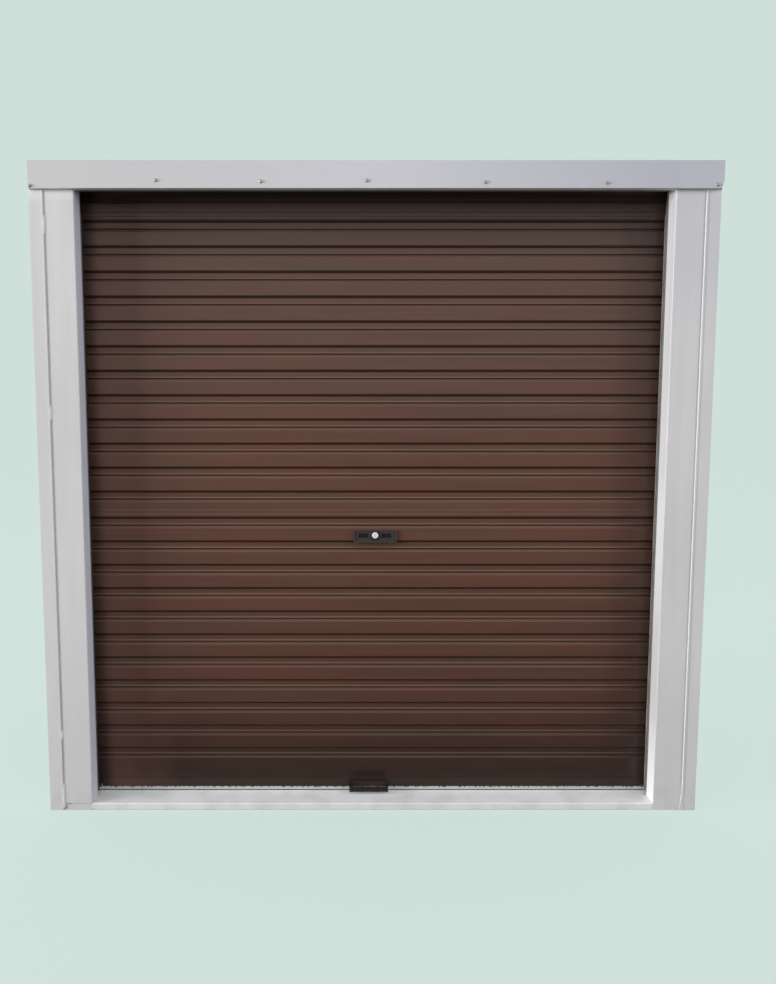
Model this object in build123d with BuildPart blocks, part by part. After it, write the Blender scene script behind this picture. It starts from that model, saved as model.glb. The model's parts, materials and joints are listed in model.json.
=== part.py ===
"""A roller garage door in its white steel frame, closed and locked.

The ribbed steel curtain is made of three sheets joined by lap seams. It hangs in two guide
channels behind the frame, and its top sheet is wound on three drum wheels on a fixed axle.
A key barrel in the middle turns a crank that draws two flat bolts out of the guides.

Millimetres, +X to the right seen from outside, +Y into the building, +Z up. The origin is the
centre of the sill's underside, on the floor.
"""

import math
import os

from build123d import *

# The clear opening and the frame round it
opening_width = 1980.0
opening_height = 2102.0
sill_height = 24.0
sill_depth = 140.0
sill_wall = 2.0
sill_edge_radius = 3.0
face_width = 100.0  # white jamb face that shows beside the opening
strip_width = 48.0  # corner strip outside the jamb face
jamb_depth = 58.0
jamb_sheet = 1.5
jamb_lap = 38.0  # jamb face that runs on under the corner strip
jamb_lip = 20.0
strip_sheet = 1.2
strip_hem = 7.0
strip_hem_slope = 2.0
strip_clearance = 0.3
bent_foot_height = 60.0
bent_foot_straight = 15.0
bent_foot_shift = 6.5
edge_radius = 3.0
post_depth = 38.0
post_set_back = 10.0  # post behind the jamb's inner edge
post_wall = 2.0
post_lip = 12.0

# The header over the opening
header_height = 88.0
header_left_inset = 6.0
header_proud = 18.0
header_sheet = 1.5
header_lip_depth = 25.0
header_lip_rise = 9.0
header_lip_gap = 1.0
header_jamb_gap = 1.2
header_back_lap = 20.0
header_corner_cut_width = 8.0
header_corner_cut_height = 24.0
lintel_wall = 2.0
lintel_slot = 30.0
seat_clearance = 0.3

# The guide channels and their nylon liners
guide_wall = 2.0
guide_mouth_step = 9.0  # mouth of the guide behind the edge of the opening
guide_bolt_room = 37.0  # behind the liner, where the bolts end
liner_thickness = 3.0
liner_bead = 3.0
liner_curtain_gap = 4.0
liner_bolt_gap = 4.5
guide_top_gap = 90.0  # top of the guide below the axle
keeper_clearance = 3.0
keeper_reach = 4.0  # of the keeper's cut, each side of the wall's face

# The ribbed curtain
curtain_entry = 38.0  # curtain inside each guide
curtain_side_gap = 5.0
sheet_thickness = 0.8
rib_depth = 9.0
rib_pitch = 84.6
ribs_per_sheet = 12
lower_sheet_ribs = 10
wound_turns = 1.3
lowest_rib_height = 157.1  # lowest rib line above the sill
band_slope = 8.0
recess_length = 15.0
bead_rise = 5.0
bead_height = 3.5
bead_fall = 4.0
valley_length = 2.0
step_out = 6.0
bend = 1.2  # length cut from each side of a bend
seam_extra = 9.0
hem_height = 8.0
hem_proud = 1.0
hem_gap = 1.5
hem_step = 2.0
seam_lap = 22.0
seam_step = 4.0
seam_clearance = 0.2
roll_segment = 15.0

# The bottom rail and its seal
rail_height = 32.0
rail_wall = 2.0
rail_clearance = 0.2
rail_end_gap = 3.0
rail_flange = 20.0
rail_insert = 24.0
rail_toe = 6.0
carrier_height = 10.5
carrier_depth = 8.0
carrier_groove_width = 4.0
carrier_groove_depth = 6.0
carrier_mouth = 2.4
carrier_floor = 2.0
seal_width = 7.4
seal_floor_gap = 0.3
seal_clearance = 0.2
seal_lip_height = 3.0
carrier_proud = 3.2
carrier_end_gap = 2.0  # to the bead of each liner

# The lift handle on the bottom rail
handle_centre = -12.0
handle_width = 140.0
handle_cheek = 8.0
handle_reach = 38.0
handle_bar_thickness = 7.0
handle_bar_height = 18.0
handle_bar_drop = 5.0
handle_bar_radius = 2.3
handle_base_height = 17.0
handle_base_rise = 2.0
handle_base_thickness = 3.0

# The lock
lock_centre = 9.0
lock_below_rib = 61.1  # key barrel below the rib line of the lower seam
plate_width = 152.0
plate_height = 44.0
plate_thickness = 7.0
plate_drop = 4.0  # centre of the plate below the barrel
plate_radius = 3.0
plate_border = 4.0
plate_border_depth = 1.8
grip_length = 34.0
grip_height = 15.0
grip_depth = 3.0
grip_offset = 41.0
bezel_radius = 15.0
bezel_proud = 1.5
barrel_radius = 11.2
barrel_clearance = 0.3
barrel_proud = 3.5
barrel_face_thickness = 5.0
key_slot_length = 9.0
key_slot_width = 1.6
key_slot_depth = 2.5
spindle_radius = 6.0
curtain_hole_clearance = 3.0
barrel_edge = 1.0
bolt_thickness = 4.0
bolt_height = 20.0
bolt_gap = 0.7  # bolts behind the curtain
bolt_throw_angle = 90.0
crank_radius = 16.0
crank_pin_radius = 3.0
crank_pin_clearance = 0.6
crank_rim = 3.0
crank_width = 20.0
crank_thickness = 4.0
crank_gap = 1.0
bolt_past_guide = 12.0
bolt_fork_wall = 4.0
bolt_spindle_gap = 2.0
bolt_pass_gap = 3.4  # between one bolt and the other's fork when drawn
case_width = 110.0
case_wall = 2.0
case_gap = 3.0
case_foot = 14.0
case_bolt_gap = 1.5
knob_length = 70.0
knob_width = 14.0
knob_height = 18.0
knob_gap = 3.0
knob_hub_radius = 13.0
strap_offset = 520.0
strap_width = 25.0
strap_thickness = 2.0
strap_foot = 9.0
strap_bolt_gap = 0.5

# The axle, its drum wheels and what carries them
wheel_radius = 100.0
wheel_rim = 9.0
wheel_width = 44.0
wheel_hub_radius = 32.0
wheel_spokes = 5
wheel_flats = 10  # inside the rim and round the hub
wheel_spoke_width = 10.0
wheel_spoke_thickness = 14.0
wheel_seat_gap = 0.2
wheel_inset = 60.0  # end wheels in from the edges of the opening
axle_radius = 17.0
axle_wall = 3.2
axle_past_bracket = 22.0
axle_rise = 34.0  # axle above the header's underside
layer_gap = 1.2
spring_outer_radius = 31.0
spring_wire = 7.0
spring_length = 430.0
collar_radius = 36.0
collar_flats = 6
collar_width = 28.0
bracket_gap = 36.0  # from the curtain's edge to the bracket's plate
bracket_plate = 4.0
bracket_foot_width = 50.0
bracket_foot_rise = 25.0  # foot of the bracket above the axle
bracket_guide_gap = 8.0
bracket_ledge_width = 44.0
bracket_ledge_past_axle = 42.0
bracket_toe_height = 16.0
clamp_strap = 3.0
clamp_width = 26.0
clamp_foot = 16.0

# Places worked out from the sizes above
half_opening = opening_width / 2
front = -sill_depth / 2
post_front = front + jamb_depth
post_back = post_front + post_depth
header_bottom = sill_height + opening_height
header_top = header_bottom + header_height
lintel_bottom = header_bottom + header_lip_rise + header_lip_gap
lintel_front = front - header_proud + header_sheet + seat_clearance
frame_top = header_top - header_sheet - seat_clearance
jamb_width = face_width + jamb_lap
post_start = half_opening + post_set_back
post_width = jamb_width - post_set_back
half_frame = half_opening + face_width + strip_width
curtain_front = post_back + guide_wall + liner_thickness + liner_curtain_gap
recess_back = curtain_front + rib_depth + sheet_thickness
half_curtain = half_opening + curtain_entry
bolt_front = recess_back + bolt_gap
bolt_back = bolt_front + bolt_thickness
guide_back = bolt_back + liner_bolt_gap + liner_thickness + guide_wall
guide_depth = guide_back - post_back
guide_mouth = half_opening + guide_mouth_step
liner_start = guide_mouth - liner_bead
liner_width = half_curtain + curtain_side_gap + liner_thickness - liner_start
guide_width = liner_start + liner_width + guide_bolt_room - guide_mouth
crank_front = bolt_back + crank_gap
crank_back = crank_front + crank_thickness
case_front = crank_back + case_gap
case_back = case_front + case_wall
first_rib_height = sill_height + lowest_rib_height + lower_sheet_ribs * rib_pitch
upper_seam_height = first_rib_height + seam_extra + ribs_per_sheet * rib_pitch
lock_height = first_rib_height - lock_below_rib
axle_height = header_bottom + axle_rise
guide_top = axle_height - guide_top_gap
seal_bottom = sill_height + seal_floor_gap
carrier_bottom = seal_bottom + seal_lip_height + seal_clearance
rail_bottom = carrier_bottom + carrier_height
os.makedirs("parts", exist_ok=True)


def save(part, name):
    """Writes one finished piece under its own name."""
    part.label = name
    export_step(part, f"parts/{name}.step")


def mirrored(part):
    """The same piece on the other side of the door."""
    with BuildPart() as other:
        mirror(part, about=Plane.YZ)
    return other.part


def save_pair(part, name):
    """Writes a right-hand piece and its left-hand twin."""
    save(part, "right_" + name)
    save(mirrored(part), "left_" + name)


# The frame: sill, jambs, corner strips, posts
with BuildPart() as sill:
    with BuildSketch(Plane.YZ.offset(-half_opening)):
        with Locations((0, sill_height / 2)):
            RectangleRounded(sill_depth, sill_height, sill_edge_radius)
            Rectangle(sill_depth - 2 * sill_wall, sill_height - 2 * sill_wall, mode=Mode.SUBTRACT)
    extrude(amount=opening_width)
save(sill.part, "sill")

with BuildPart() as jamb:
    with BuildSketch() as jamb_plan:
        with Locations((half_opening, front)):
            Rectangle(jamb_width, jamb_depth, align=Align.MIN)
        fillet(jamb_plan.vertices().group_by(Axis.Y)[0], edge_radius)
        with Locations((half_opening + jamb_sheet, front + jamb_sheet)):
            Rectangle(
                jamb_width - 2 * jamb_sheet,
                jamb_depth - 2 * jamb_sheet,
                align=Align.MIN,
                mode=Mode.SUBTRACT,
            )
        with Locations((half_opening + jamb_lip, post_front - jamb_sheet)):
            Rectangle(jamb_width - 2 * jamb_lip, jamb_sheet, align=Align.MIN, mode=Mode.SUBTRACT)
    extrude(amount=lintel_bottom)
save_pair(jamb.part, "jamb")

strip_face = front - strip_clearance - strip_sheet
strip_inside = half_opening + face_width
with BuildPart() as strip:
    with BuildSketch():
        with Locations((strip_inside, strip_face)):
            Rectangle(strip_width, strip_sheet, align=Align.MIN)
        with BuildLine():
            Polyline(
                (strip_inside, strip_face),
                (strip_inside + strip_hem_slope, strip_face - strip_sheet),
                (strip_inside + strip_hem, strip_face - strip_sheet),
                (strip_inside + strip_hem, strip_face),
                close=True,
            )
        make_face()
        with Locations((half_frame - strip_sheet, strip_face)):
            Rectangle(strip_sheet, post_back - strip_face, align=Align.MIN)
    extrude(amount=header_bottom - seat_clearance)
save(mirrored(strip.part), "left_corner_strip")

# The right strip's foot was knocked inwards: its hem leans over the jamb
with BuildPart() as bent_strip:
    add(strip.part)
    with BuildSketch(Plane.XZ.offset(-strip_face)):
        with BuildLine():
            Polyline(
                (strip_inside + strip_hem_slope, bent_foot_height),
                (strip_inside - bent_foot_shift, bent_foot_straight),
                (strip_inside - bent_foot_shift, 0),
                (strip_inside + strip_hem_slope, 0),
                close=True,
            )
        make_face()
    extrude(amount=strip_sheet)
save(bent_strip.part, "right_corner_strip")

with BuildPart() as post:
    with BuildSketch():
        with Locations((post_start, post_front)):
            Rectangle(post_width, post_depth, align=Align.MIN)
        with Locations((post_start + post_wall, post_front + post_wall)):
            Rectangle(
                post_width - 2 * post_wall,
                post_depth - 2 * post_wall,
                align=Align.MIN,
                mode=Mode.SUBTRACT,
            )
        with Locations((post_start + post_width - post_wall, post_front + post_lip)):
            Rectangle(post_wall, post_depth - 2 * post_lip, align=Align.MIN, mode=Mode.SUBTRACT)
    extrude(amount=frame_top)
save_pair(post.part, "post")

# The lintel and the flashing that covers it
with BuildPart() as lintel:
    with BuildSketch(Plane.YZ.offset(-half_opening - jamb_width)):
        with Locations((lintel_front, lintel_bottom)):
            Rectangle(post_front - lintel_front, frame_top - lintel_bottom, align=Align.MIN)
        with Locations((lintel_front + lintel_wall, lintel_bottom + lintel_wall)):
            Rectangle(
                post_front - lintel_front - 2 * lintel_wall,
                frame_top - lintel_bottom - 2 * lintel_wall,
                align=Align.MIN,
                mode=Mode.SUBTRACT,
            )
        with Locations(((lintel_front + post_front) / 2, frame_top - lintel_wall)):
            Rectangle(
                lintel_slot, lintel_wall, align=(Align.CENTER, Align.MIN), mode=Mode.SUBTRACT
            )
    extrude(amount=2 * (half_opening + jamb_width))
save(lintel.part, "lintel")

header_front = front - header_proud
header_back = post_back + seat_clearance + header_sheet
header_lip_end = strip_face - strip_sheet - header_jamb_gap
header_left = header_left_inset - half_frame
with BuildPart() as header:
    with BuildSketch(Plane.YZ.offset(header_left)):
        with Locations((header_front, header_bottom)):
            Rectangle(header_sheet, header_height, align=Align.MIN)
            Rectangle(header_lip_end - header_front, header_sheet, align=Align.MIN)
        with Locations((header_front, header_top)):
            Rectangle(header_back - header_front, header_sheet, align=(Align.MIN, Align.MAX))
        with Locations((header_back, header_top)):
            Rectangle(header_sheet, header_back_lap, align=Align.MAX)
    extrude(amount=half_frame - header_left)
    # The deeper lip between the jambs, turned up at its back
    with BuildSketch(Plane.YZ.offset(-half_opening + seat_clearance)):
        with Locations((header_front, header_bottom)):
            Rectangle(header_lip_depth, header_sheet, align=Align.MIN)
        with Locations((header_front + header_lip_depth, header_bottom)):
            Rectangle(header_sheet, header_lip_rise, align=(Align.MAX, Align.MIN))
    extrude(amount=opening_width - 2 * seat_clearance)
    for end in (header_left, half_frame - header_sheet):
        with BuildSketch(Plane.YZ.offset(end)):
            with Locations((header_front, header_bottom)):
                Rectangle(header_back - header_front, header_height, align=Align.MIN)
        extrude(amount=header_sheet)
    # The clipped corner at the right end
    with BuildSketch(Plane.XZ.offset(-header_lip_end)):
        with BuildLine():
            Polyline(
                (half_frame - header_corner_cut_width, header_bottom),
                (half_frame, header_bottom + header_corner_cut_height),
                (half_frame, header_bottom),
                close=True,
            )
        make_face()
    extrude(amount=header_lip_end - header_front, mode=Mode.SUBTRACT)
save(header.part, "header_flashing")

# Guide channels with their liners, slotted for the bolts
keeper_height = bolt_height + 2 * keeper_clearance
keeper_depth = bolt_thickness + 2 * keeper_clearance
with BuildPart() as guide:
    with BuildSketch(Plane.XY.offset(sill_height)):
        with Locations((guide_mouth, post_back)):
            Rectangle(guide_width, guide_depth, align=Align.MIN)
        with Locations((guide_mouth, post_back + guide_wall)):
            Rectangle(
                guide_width - guide_wall,
                guide_depth - 2 * guide_wall,
                align=Align.MIN,
                mode=Mode.SUBTRACT,
            )
    extrude(amount=guide_top - sill_height)
    with Locations((guide_mouth + guide_width, (bolt_front + bolt_back) / 2, lock_height)):
        Box(2 * keeper_reach, keeper_depth, keeper_height, mode=Mode.SUBTRACT)
save_pair(guide.part, "guide")

with BuildPart() as liner:
    with BuildSketch(Plane.XY.offset(sill_height)):
        with Locations((liner_start, post_back + guide_wall)):
            Rectangle(liner_width, guide_depth - 2 * guide_wall, align=Align.MIN)
        with Locations((liner_start, post_back + seat_clearance)):
            Rectangle(
                liner_bead - seat_clearance, guide_depth - 2 * seat_clearance, align=Align.MIN
            )
        with Locations((liner_start, post_back + guide_wall + liner_thickness)):
            Rectangle(
                liner_width - liner_thickness,
                guide_depth - 2 * (guide_wall + liner_thickness),
                align=Align.MIN,
                mode=Mode.SUBTRACT,
            )
    extrude(amount=guide_top - sill_height)
    with Locations((liner_start + liner_width, (bolt_front + bolt_back) / 2, lock_height)):
        Box(2 * keeper_reach, keeper_depth, keeper_height, mode=Mode.SUBTRACT)
save_pair(liner.part, "guide_liner")


# The curtain: each sheet is a profile of points (height, offset), where height runs up the
# unrolled curtain and offset is how far the outer face stands in front of the wide bands
roll_turn = (rib_depth + sheet_thickness + layer_gap) / (2 * math.pi)
inner_roll_radius = wheel_radius + wheel_seat_gap + rib_depth + sheet_thickness
wound_target = 2 * math.pi * inner_roll_radius * wound_turns
upper_ribs = round((axle_height + wound_target - upper_seam_height - seam_extra) / rib_pitch)
rolled_length = upper_seam_height + seam_extra + upper_ribs * rib_pitch - axle_height
roll_radius = math.sqrt(inner_roll_radius**2 + 2 * roll_turn * rolled_length)
axle_y = curtain_front + roll_radius


def on_path(height, offset):
    """The (Y, Z) of a point of the curtain, which hangs straight and then winds round the drum."""
    if height <= axle_height:
        return (curtain_front - offset, height)
    wound = height - axle_height
    turned = (roll_radius - math.sqrt(roll_radius**2 - 2 * roll_turn * wound)) / roll_turn
    radius = roll_radius - roll_turn * turned + offset
    return (axle_y - radius * math.cos(turned), axle_height + radius * math.sin(turned))


def rib_points(height):
    """The bends of one rib, upwards: the wide band's lower edge is at the given height."""
    step_top = height - band_slope / 2 - recess_length
    bead_crest = step_top - bead_rise
    valley_top = bead_crest - bead_fall
    valley_bottom = valley_top - valley_length
    return [
        (valley_bottom - step_out, 0.0),
        (valley_bottom, -rib_depth),
        (valley_top, -rib_depth),
        (bead_crest, bead_height - rib_depth),
        (step_top, -rib_depth),
        (height - band_slope / 2, -rib_depth),
        (height + band_slope / 2, 0.0),
    ]


def softened(points):
    """Cuts each bend at a wide band's edge into two, so that the sheet turns in a small radius."""
    out = [points[0]]
    for before, here, after in zip(points, points[1:], points[2:]):
        if here[1] < 0:
            out.append(here)
            continue
        for other in (before, after):
            length = math.dist(here, other)
            share = min(bend, length / 3) / length
            out.append(tuple(h + (o - h) * share for h, o in zip(here, other)))
    return out + [points[-1]]


def divided(points):
    """Adds points along the long stretches that are wound on the drum."""
    out = [points[0]]
    for start, end in zip(points, points[1:]):
        wound = end[0] > axle_height
        parts = math.ceil(math.dist(start, end) / roll_segment) if wound else 1
        out += [
            tuple(s + (e - s) * part / parts for s, e in zip(start, end))
            for part in range(1, parts + 1)
        ]
    return out


def inner_face(points, thickness):
    """The same line moved inwards by the sheet's thickness, with mitred bends."""
    normals = []
    for (h0, o0), (h1, o1) in zip(points, points[1:]):
        length = math.hypot(h1 - h0, o1 - o0)
        normals.append(((o1 - o0) / length, (h0 - h1) / length))
    out = []
    for place, (height, offset) in enumerate(points):
        a = normals[max(place - 1, 0)]
        b = normals[min(place, len(normals) - 1)]
        scale = thickness / (1 + a[0] * b[0] + a[1] * b[1])
        out.append((height + (a[0] + b[0]) * scale, offset + (a[1] + b[1]) * scale))
    return out


def sheet_outline(points):
    """The closed (Y, Z) outline of a sheet whose outer face follows the given bends."""
    outer = divided(softened(points))
    inner = inner_face(outer, sheet_thickness)
    return [on_path(*point) for point in outer + inner[::-1]]


def seam_points(height):
    """The upper sheet's lower edge, which laps over the outside of the sheet below."""
    out_by = sheet_thickness + seam_clearance
    hem_bottom = height + band_slope / 2 + hem_gap
    return [
        (hem_bottom, out_by + hem_proud),
        (hem_bottom + hem_height, out_by + hem_proud),
        (hem_bottom + hem_height + hem_step, out_by),
        (hem_bottom + seam_lap, out_by),
        (hem_bottom + seam_lap + seam_step, 0.0),
    ]


def rib_heights(lowest, count):
    return [lowest + rib_pitch * place for place in range(count)]


lowest_rib = sill_height + lowest_rib_height
sheet_ribs = {
    "lower_curtain": rib_heights(lowest_rib, lower_sheet_ribs + 1),
    "middle_curtain": rib_heights(first_rib_height + seam_extra + rib_pitch, ribs_per_sheet),
    "upper_curtain": rib_heights(upper_seam_height + seam_extra + rib_pitch, upper_ribs - 1),
}
for sheet_name, heights in sheet_ribs.items():
    bends = [point for height in heights for point in rib_points(height)]
    if sheet_name == "lower_curtain":
        bends = [(rail_bottom + rail_height - rail_insert, 0.0)] + bends
    else:
        bends = seam_points(heights[0] - rib_pitch - seam_extra) + bends
    if sheet_name == "upper_curtain":
        bends = bends + [(heights[-1] + rib_pitch / 2, 0.0)]
    else:
        bends = bends + [(heights[-1] + band_slope / 2 + hem_gap + seam_lap - seam_step, 0.0)]
    with BuildPart() as sheet:
        with BuildSketch(Plane.YZ.offset(-half_curtain)):
            with BuildLine():
                Polyline(*sheet_outline(bends), close=True)
            make_face()
        extrude(amount=2 * half_curtain)
        if sheet_name == "lower_curtain":
            with BuildSketch(Plane.XZ.offset(-recess_back)):
                with Locations((lock_centre, lock_height)):
                    Circle(spindle_radius + curtain_hole_clearance)
            extrude(amount=recess_back - curtain_front, mode=Mode.SUBTRACT)
    save(sheet.part, sheet_name)

# Bottom rail, seal carrier and rubber seal
half_rail = half_opening - rail_end_gap
rail_front = curtain_front - rail_clearance - rail_wall
slot_back = curtain_front + sheet_thickness + rail_clearance
with BuildPart() as rail:
    with BuildSketch(Plane.YZ.offset(-half_rail)):
        with Locations((rail_front, rail_bottom)):
            Rectangle(rail_wall, rail_height, align=Align.MIN)
            Rectangle(slot_back - rail_front + rail_wall + rail_flange, rail_wall, align=Align.MIN)
        with Locations((slot_back, rail_bottom)):
            Rectangle(rail_wall, rail_height, align=Align.MIN)
        with Locations((slot_back + rail_flange + rail_wall, rail_bottom)):
            Rectangle(rail_wall, rail_toe, align=(Align.MAX, Align.MIN))
    extrude(amount=2 * half_rail)
save(rail.part, "bottom_rail")

half_carrier = liner_start - carrier_end_gap
carrier_middle = rail_front - carrier_proud + carrier_depth / 2
with BuildPart() as carrier:
    with BuildSketch(Plane.YZ.offset(-half_carrier)):
        with Locations((carrier_middle, carrier_bottom)):
            Rectangle(carrier_depth, carrier_height, align=(Align.CENTER, Align.MIN))
            Rectangle(
                carrier_mouth,
                carrier_floor,
                align=(Align.CENTER, Align.MIN),
                mode=Mode.SUBTRACT,
            )
        with Locations((carrier_middle, carrier_bottom + carrier_floor)):
            Rectangle(
                carrier_groove_width,
                carrier_groove_depth,
                align=(Align.CENTER, Align.MIN),
                mode=Mode.SUBTRACT,
            )
    extrude(amount=2 * half_carrier)
save(carrier.part, "seal_carrier")

with BuildPart() as seal:
    stem_width = carrier_mouth - 2 * seal_clearance
    with BuildSketch(Plane.YZ.offset(-half_carrier)):
        with Locations((carrier_middle, seal_bottom)):
            Rectangle(
                seal_width,
                carrier_bottom - seal_clearance - seal_bottom,
                align=(Align.CENTER, Align.MIN),
            )
            Rectangle(
                stem_width,
                carrier_bottom + carrier_floor + seal_clearance - seal_bottom,
                align=(Align.CENTER, Align.MIN),
            )
        with Locations((carrier_middle, carrier_bottom + carrier_floor + seal_clearance)):
            Rectangle(
                carrier_groove_width - 2 * seal_clearance,
                carrier_groove_depth - 2 * seal_clearance,
                align=(Align.CENTER, Align.MIN),
            )
    extrude(amount=2 * half_carrier)
save(seal.part, "weather_seal")

# Lift handle: a bar between two cheeks, on a base plate screwed to the rail
handle_back = rail_front
handle_front = handle_back - handle_reach
base_bottom = rail_bottom + handle_base_rise
bar_bottom = rail_bottom - handle_bar_drop
with BuildPart() as handle:
    for cheek in (-1, 1):
        cheek_x = handle_centre + cheek * (handle_width - handle_cheek) / 2
        with BuildSketch(Plane.YZ.offset(cheek_x - handle_cheek / 2)):
            with BuildLine():
                Polyline(
                    (handle_back, base_bottom),
                    (handle_back, base_bottom + handle_base_height),
                    (handle_front + handle_bar_thickness, bar_bottom + handle_bar_height),
                    (handle_front, bar_bottom + handle_bar_height),
                    (handle_front, bar_bottom),
                    (handle_front + handle_bar_thickness, bar_bottom),
                    close=True,
                )
            make_face()
        extrude(amount=handle_cheek)
    with Locations((handle_centre, handle_back, base_bottom)):
        Box(
            handle_width,
            handle_base_thickness,
            handle_base_height,
            align=(Align.CENTER, Align.MAX, Align.MIN),
        )
    with Locations((handle_centre, handle_front + handle_bar_thickness / 2, bar_bottom)):
        Box(
            handle_width,
            handle_bar_thickness,
            handle_bar_height,
            align=(Align.CENTER, Align.CENTER, Align.MIN),
        )
    fillet(handle.edges().filter_by(Axis.X).group_by(Axis.Y)[0], handle_bar_radius)
save(handle.part, "lift_handle")

# Lock plate on the outside of the curtain
plate_front = curtain_front - plate_thickness
lock_xz = (lock_centre, lock_height)
plate_xz = (lock_centre, lock_height - plate_drop)
with BuildPart() as plate:
    with BuildSketch(Plane.XZ.offset(-curtain_front)):
        with Locations(plate_xz):
            RectangleRounded(plate_width, plate_height, plate_radius)
    extrude(amount=plate_thickness)
    with BuildSketch(Plane.XZ.offset(-plate_front)):
        with Locations(plate_xz):
            Rectangle(plate_width - 2 * plate_border, plate_height - 2 * plate_border)
    extrude(amount=-plate_border_depth, mode=Mode.SUBTRACT)
    with BuildSketch(Plane.XZ.offset(-plate_front)):
        for side in (-1, 1):
            with Locations((lock_centre + side * grip_offset, lock_height - plate_drop / 2)):
                Rectangle(grip_length, grip_height)
    extrude(amount=-plate_border_depth - grip_depth, mode=Mode.SUBTRACT)
    with BuildSketch(Plane.XZ.offset(-curtain_front)):
        with Locations(lock_xz):
            Circle(bezel_radius)
    extrude(amount=plate_thickness + bezel_proud)
    with BuildSketch(Plane.XZ.offset(-curtain_front)):
        with Locations(lock_xz):
            Circle(spindle_radius + barrel_clearance)
    extrude(amount=plate_thickness + bezel_proud, mode=Mode.SUBTRACT)
    with BuildSketch(Plane.XZ.offset(-plate_front + bezel_proud)):
        with Locations(lock_xz):
            Circle(barrel_radius + barrel_clearance)
    extrude(amount=-barrel_face_thickness, mode=Mode.SUBTRACT)
save(plate.part, "lock_plate")

# Key barrel with its spindle, which turns as one with the crank and the inside knob
barrel_front = plate_front - bezel_proud - barrel_proud
barrel_back = plate_front - bezel_proud + barrel_face_thickness - barrel_clearance
with BuildPart() as barrel:
    with BuildSketch(Plane.XZ.offset(-barrel_back)):
        with Locations(lock_xz):
            Circle(barrel_radius)
    extrude(amount=barrel_back - barrel_front)
    chamfer(barrel.faces().sort_by(Axis.Y)[0].edges(), barrel_edge)
    with BuildSketch(Plane.XZ.offset(-crank_front)):
        with Locations(lock_xz):
            Circle(spindle_radius)
    extrude(amount=crank_front - barrel_back)
    with BuildSketch(Plane.XZ.offset(-barrel_front)):
        with Locations(lock_xz):
            SlotOverall(key_slot_length, key_slot_width, rotation=90)
    extrude(amount=-key_slot_depth, mode=Mode.SUBTRACT)
save(barrel.part, "lock_barrel")

# Crank with the two pins that drive the bolts; at rest it stands at half its throw
half_throw = math.radians(bolt_throw_angle / 2)
pin_x = crank_radius * math.sin(half_throw)
pin_z = crank_radius * math.cos(half_throw)
bolt_travel = 2 * pin_x
with BuildPart() as crank:
    crank_length = 2 * (crank_radius + crank_pin_radius + crank_rim)
    with BuildSketch(Plane.XZ.offset(-crank_back)):
        with Locations(lock_xz):
            SlotOverall(crank_length, crank_width, rotation=90 - bolt_throw_angle / 2)
    extrude(amount=crank_thickness)
    with BuildSketch(Plane.XZ.offset(-crank_front)):
        for side in (-1, 1):
            with Locations((lock_centre + side * pin_x, lock_height + side * pin_z)):
                Circle(crank_pin_radius)
    extrude(amount=crank_gap + bolt_thickness)
save(crank.part, "lock_crank")

with BuildPart() as knob:
    with BuildSketch(Plane.XZ.offset(-case_back - knob_gap)):
        with Locations(lock_xz):
            Circle(spindle_radius)
    extrude(amount=case_back + knob_gap - crank_back)
    with BuildSketch(Plane.XZ.offset(-case_back - knob_gap - knob_height)):
        with Locations(lock_xz):
            SlotOverall(knob_length, knob_width, rotation=90)
            Circle(knob_hub_radius)
    extrude(amount=knob_height)
save(knob.part, "inside_knob")

# Flat bolts: each ends in a fork that takes one crank pin, the right one from above
guide_outside = guide_mouth + guide_width
fork_half = crank_pin_radius + crank_pin_clearance
fork_reach = fork_half + bolt_fork_wall
strip_start = 2 * bolt_travel + bolt_pass_gap + fork_reach - pin_x
fork_start = spindle_radius + bolt_spindle_gap
fork_top = crank_radius + fork_half + bolt_fork_wall
for side, side_name in ((1, "right"), (-1, "left")):
    bolt_end = side * (guide_outside + bolt_past_guide)
    strip_x = lock_centre + side * strip_start
    fork_x = lock_centre + side * pin_x
    arm_length = strip_start + bolt_height / 2 - pin_x + fork_reach
    with BuildPart() as bolt:
        with BuildSketch(Plane.XZ.offset(-bolt_back)):
            with Locations(((strip_x + bolt_end) / 2, lock_height)):
                Rectangle(abs(bolt_end - strip_x), bolt_height)
            arm_x = fork_x + side * (arm_length / 2 - fork_reach)
            with Locations((arm_x, lock_height + side * (fork_start + fork_top) / 2)):
                Rectangle(arm_length, fork_top - fork_start)
            with Locations((fork_x, lock_height + side * (crank_radius + fork_half) / 2)):
                Rectangle(2 * fork_half, crank_radius + fork_half, mode=Mode.SUBTRACT)
        extrude(amount=bolt_thickness)
    save(bolt.part, side_name + "_lock_bolt")

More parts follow.
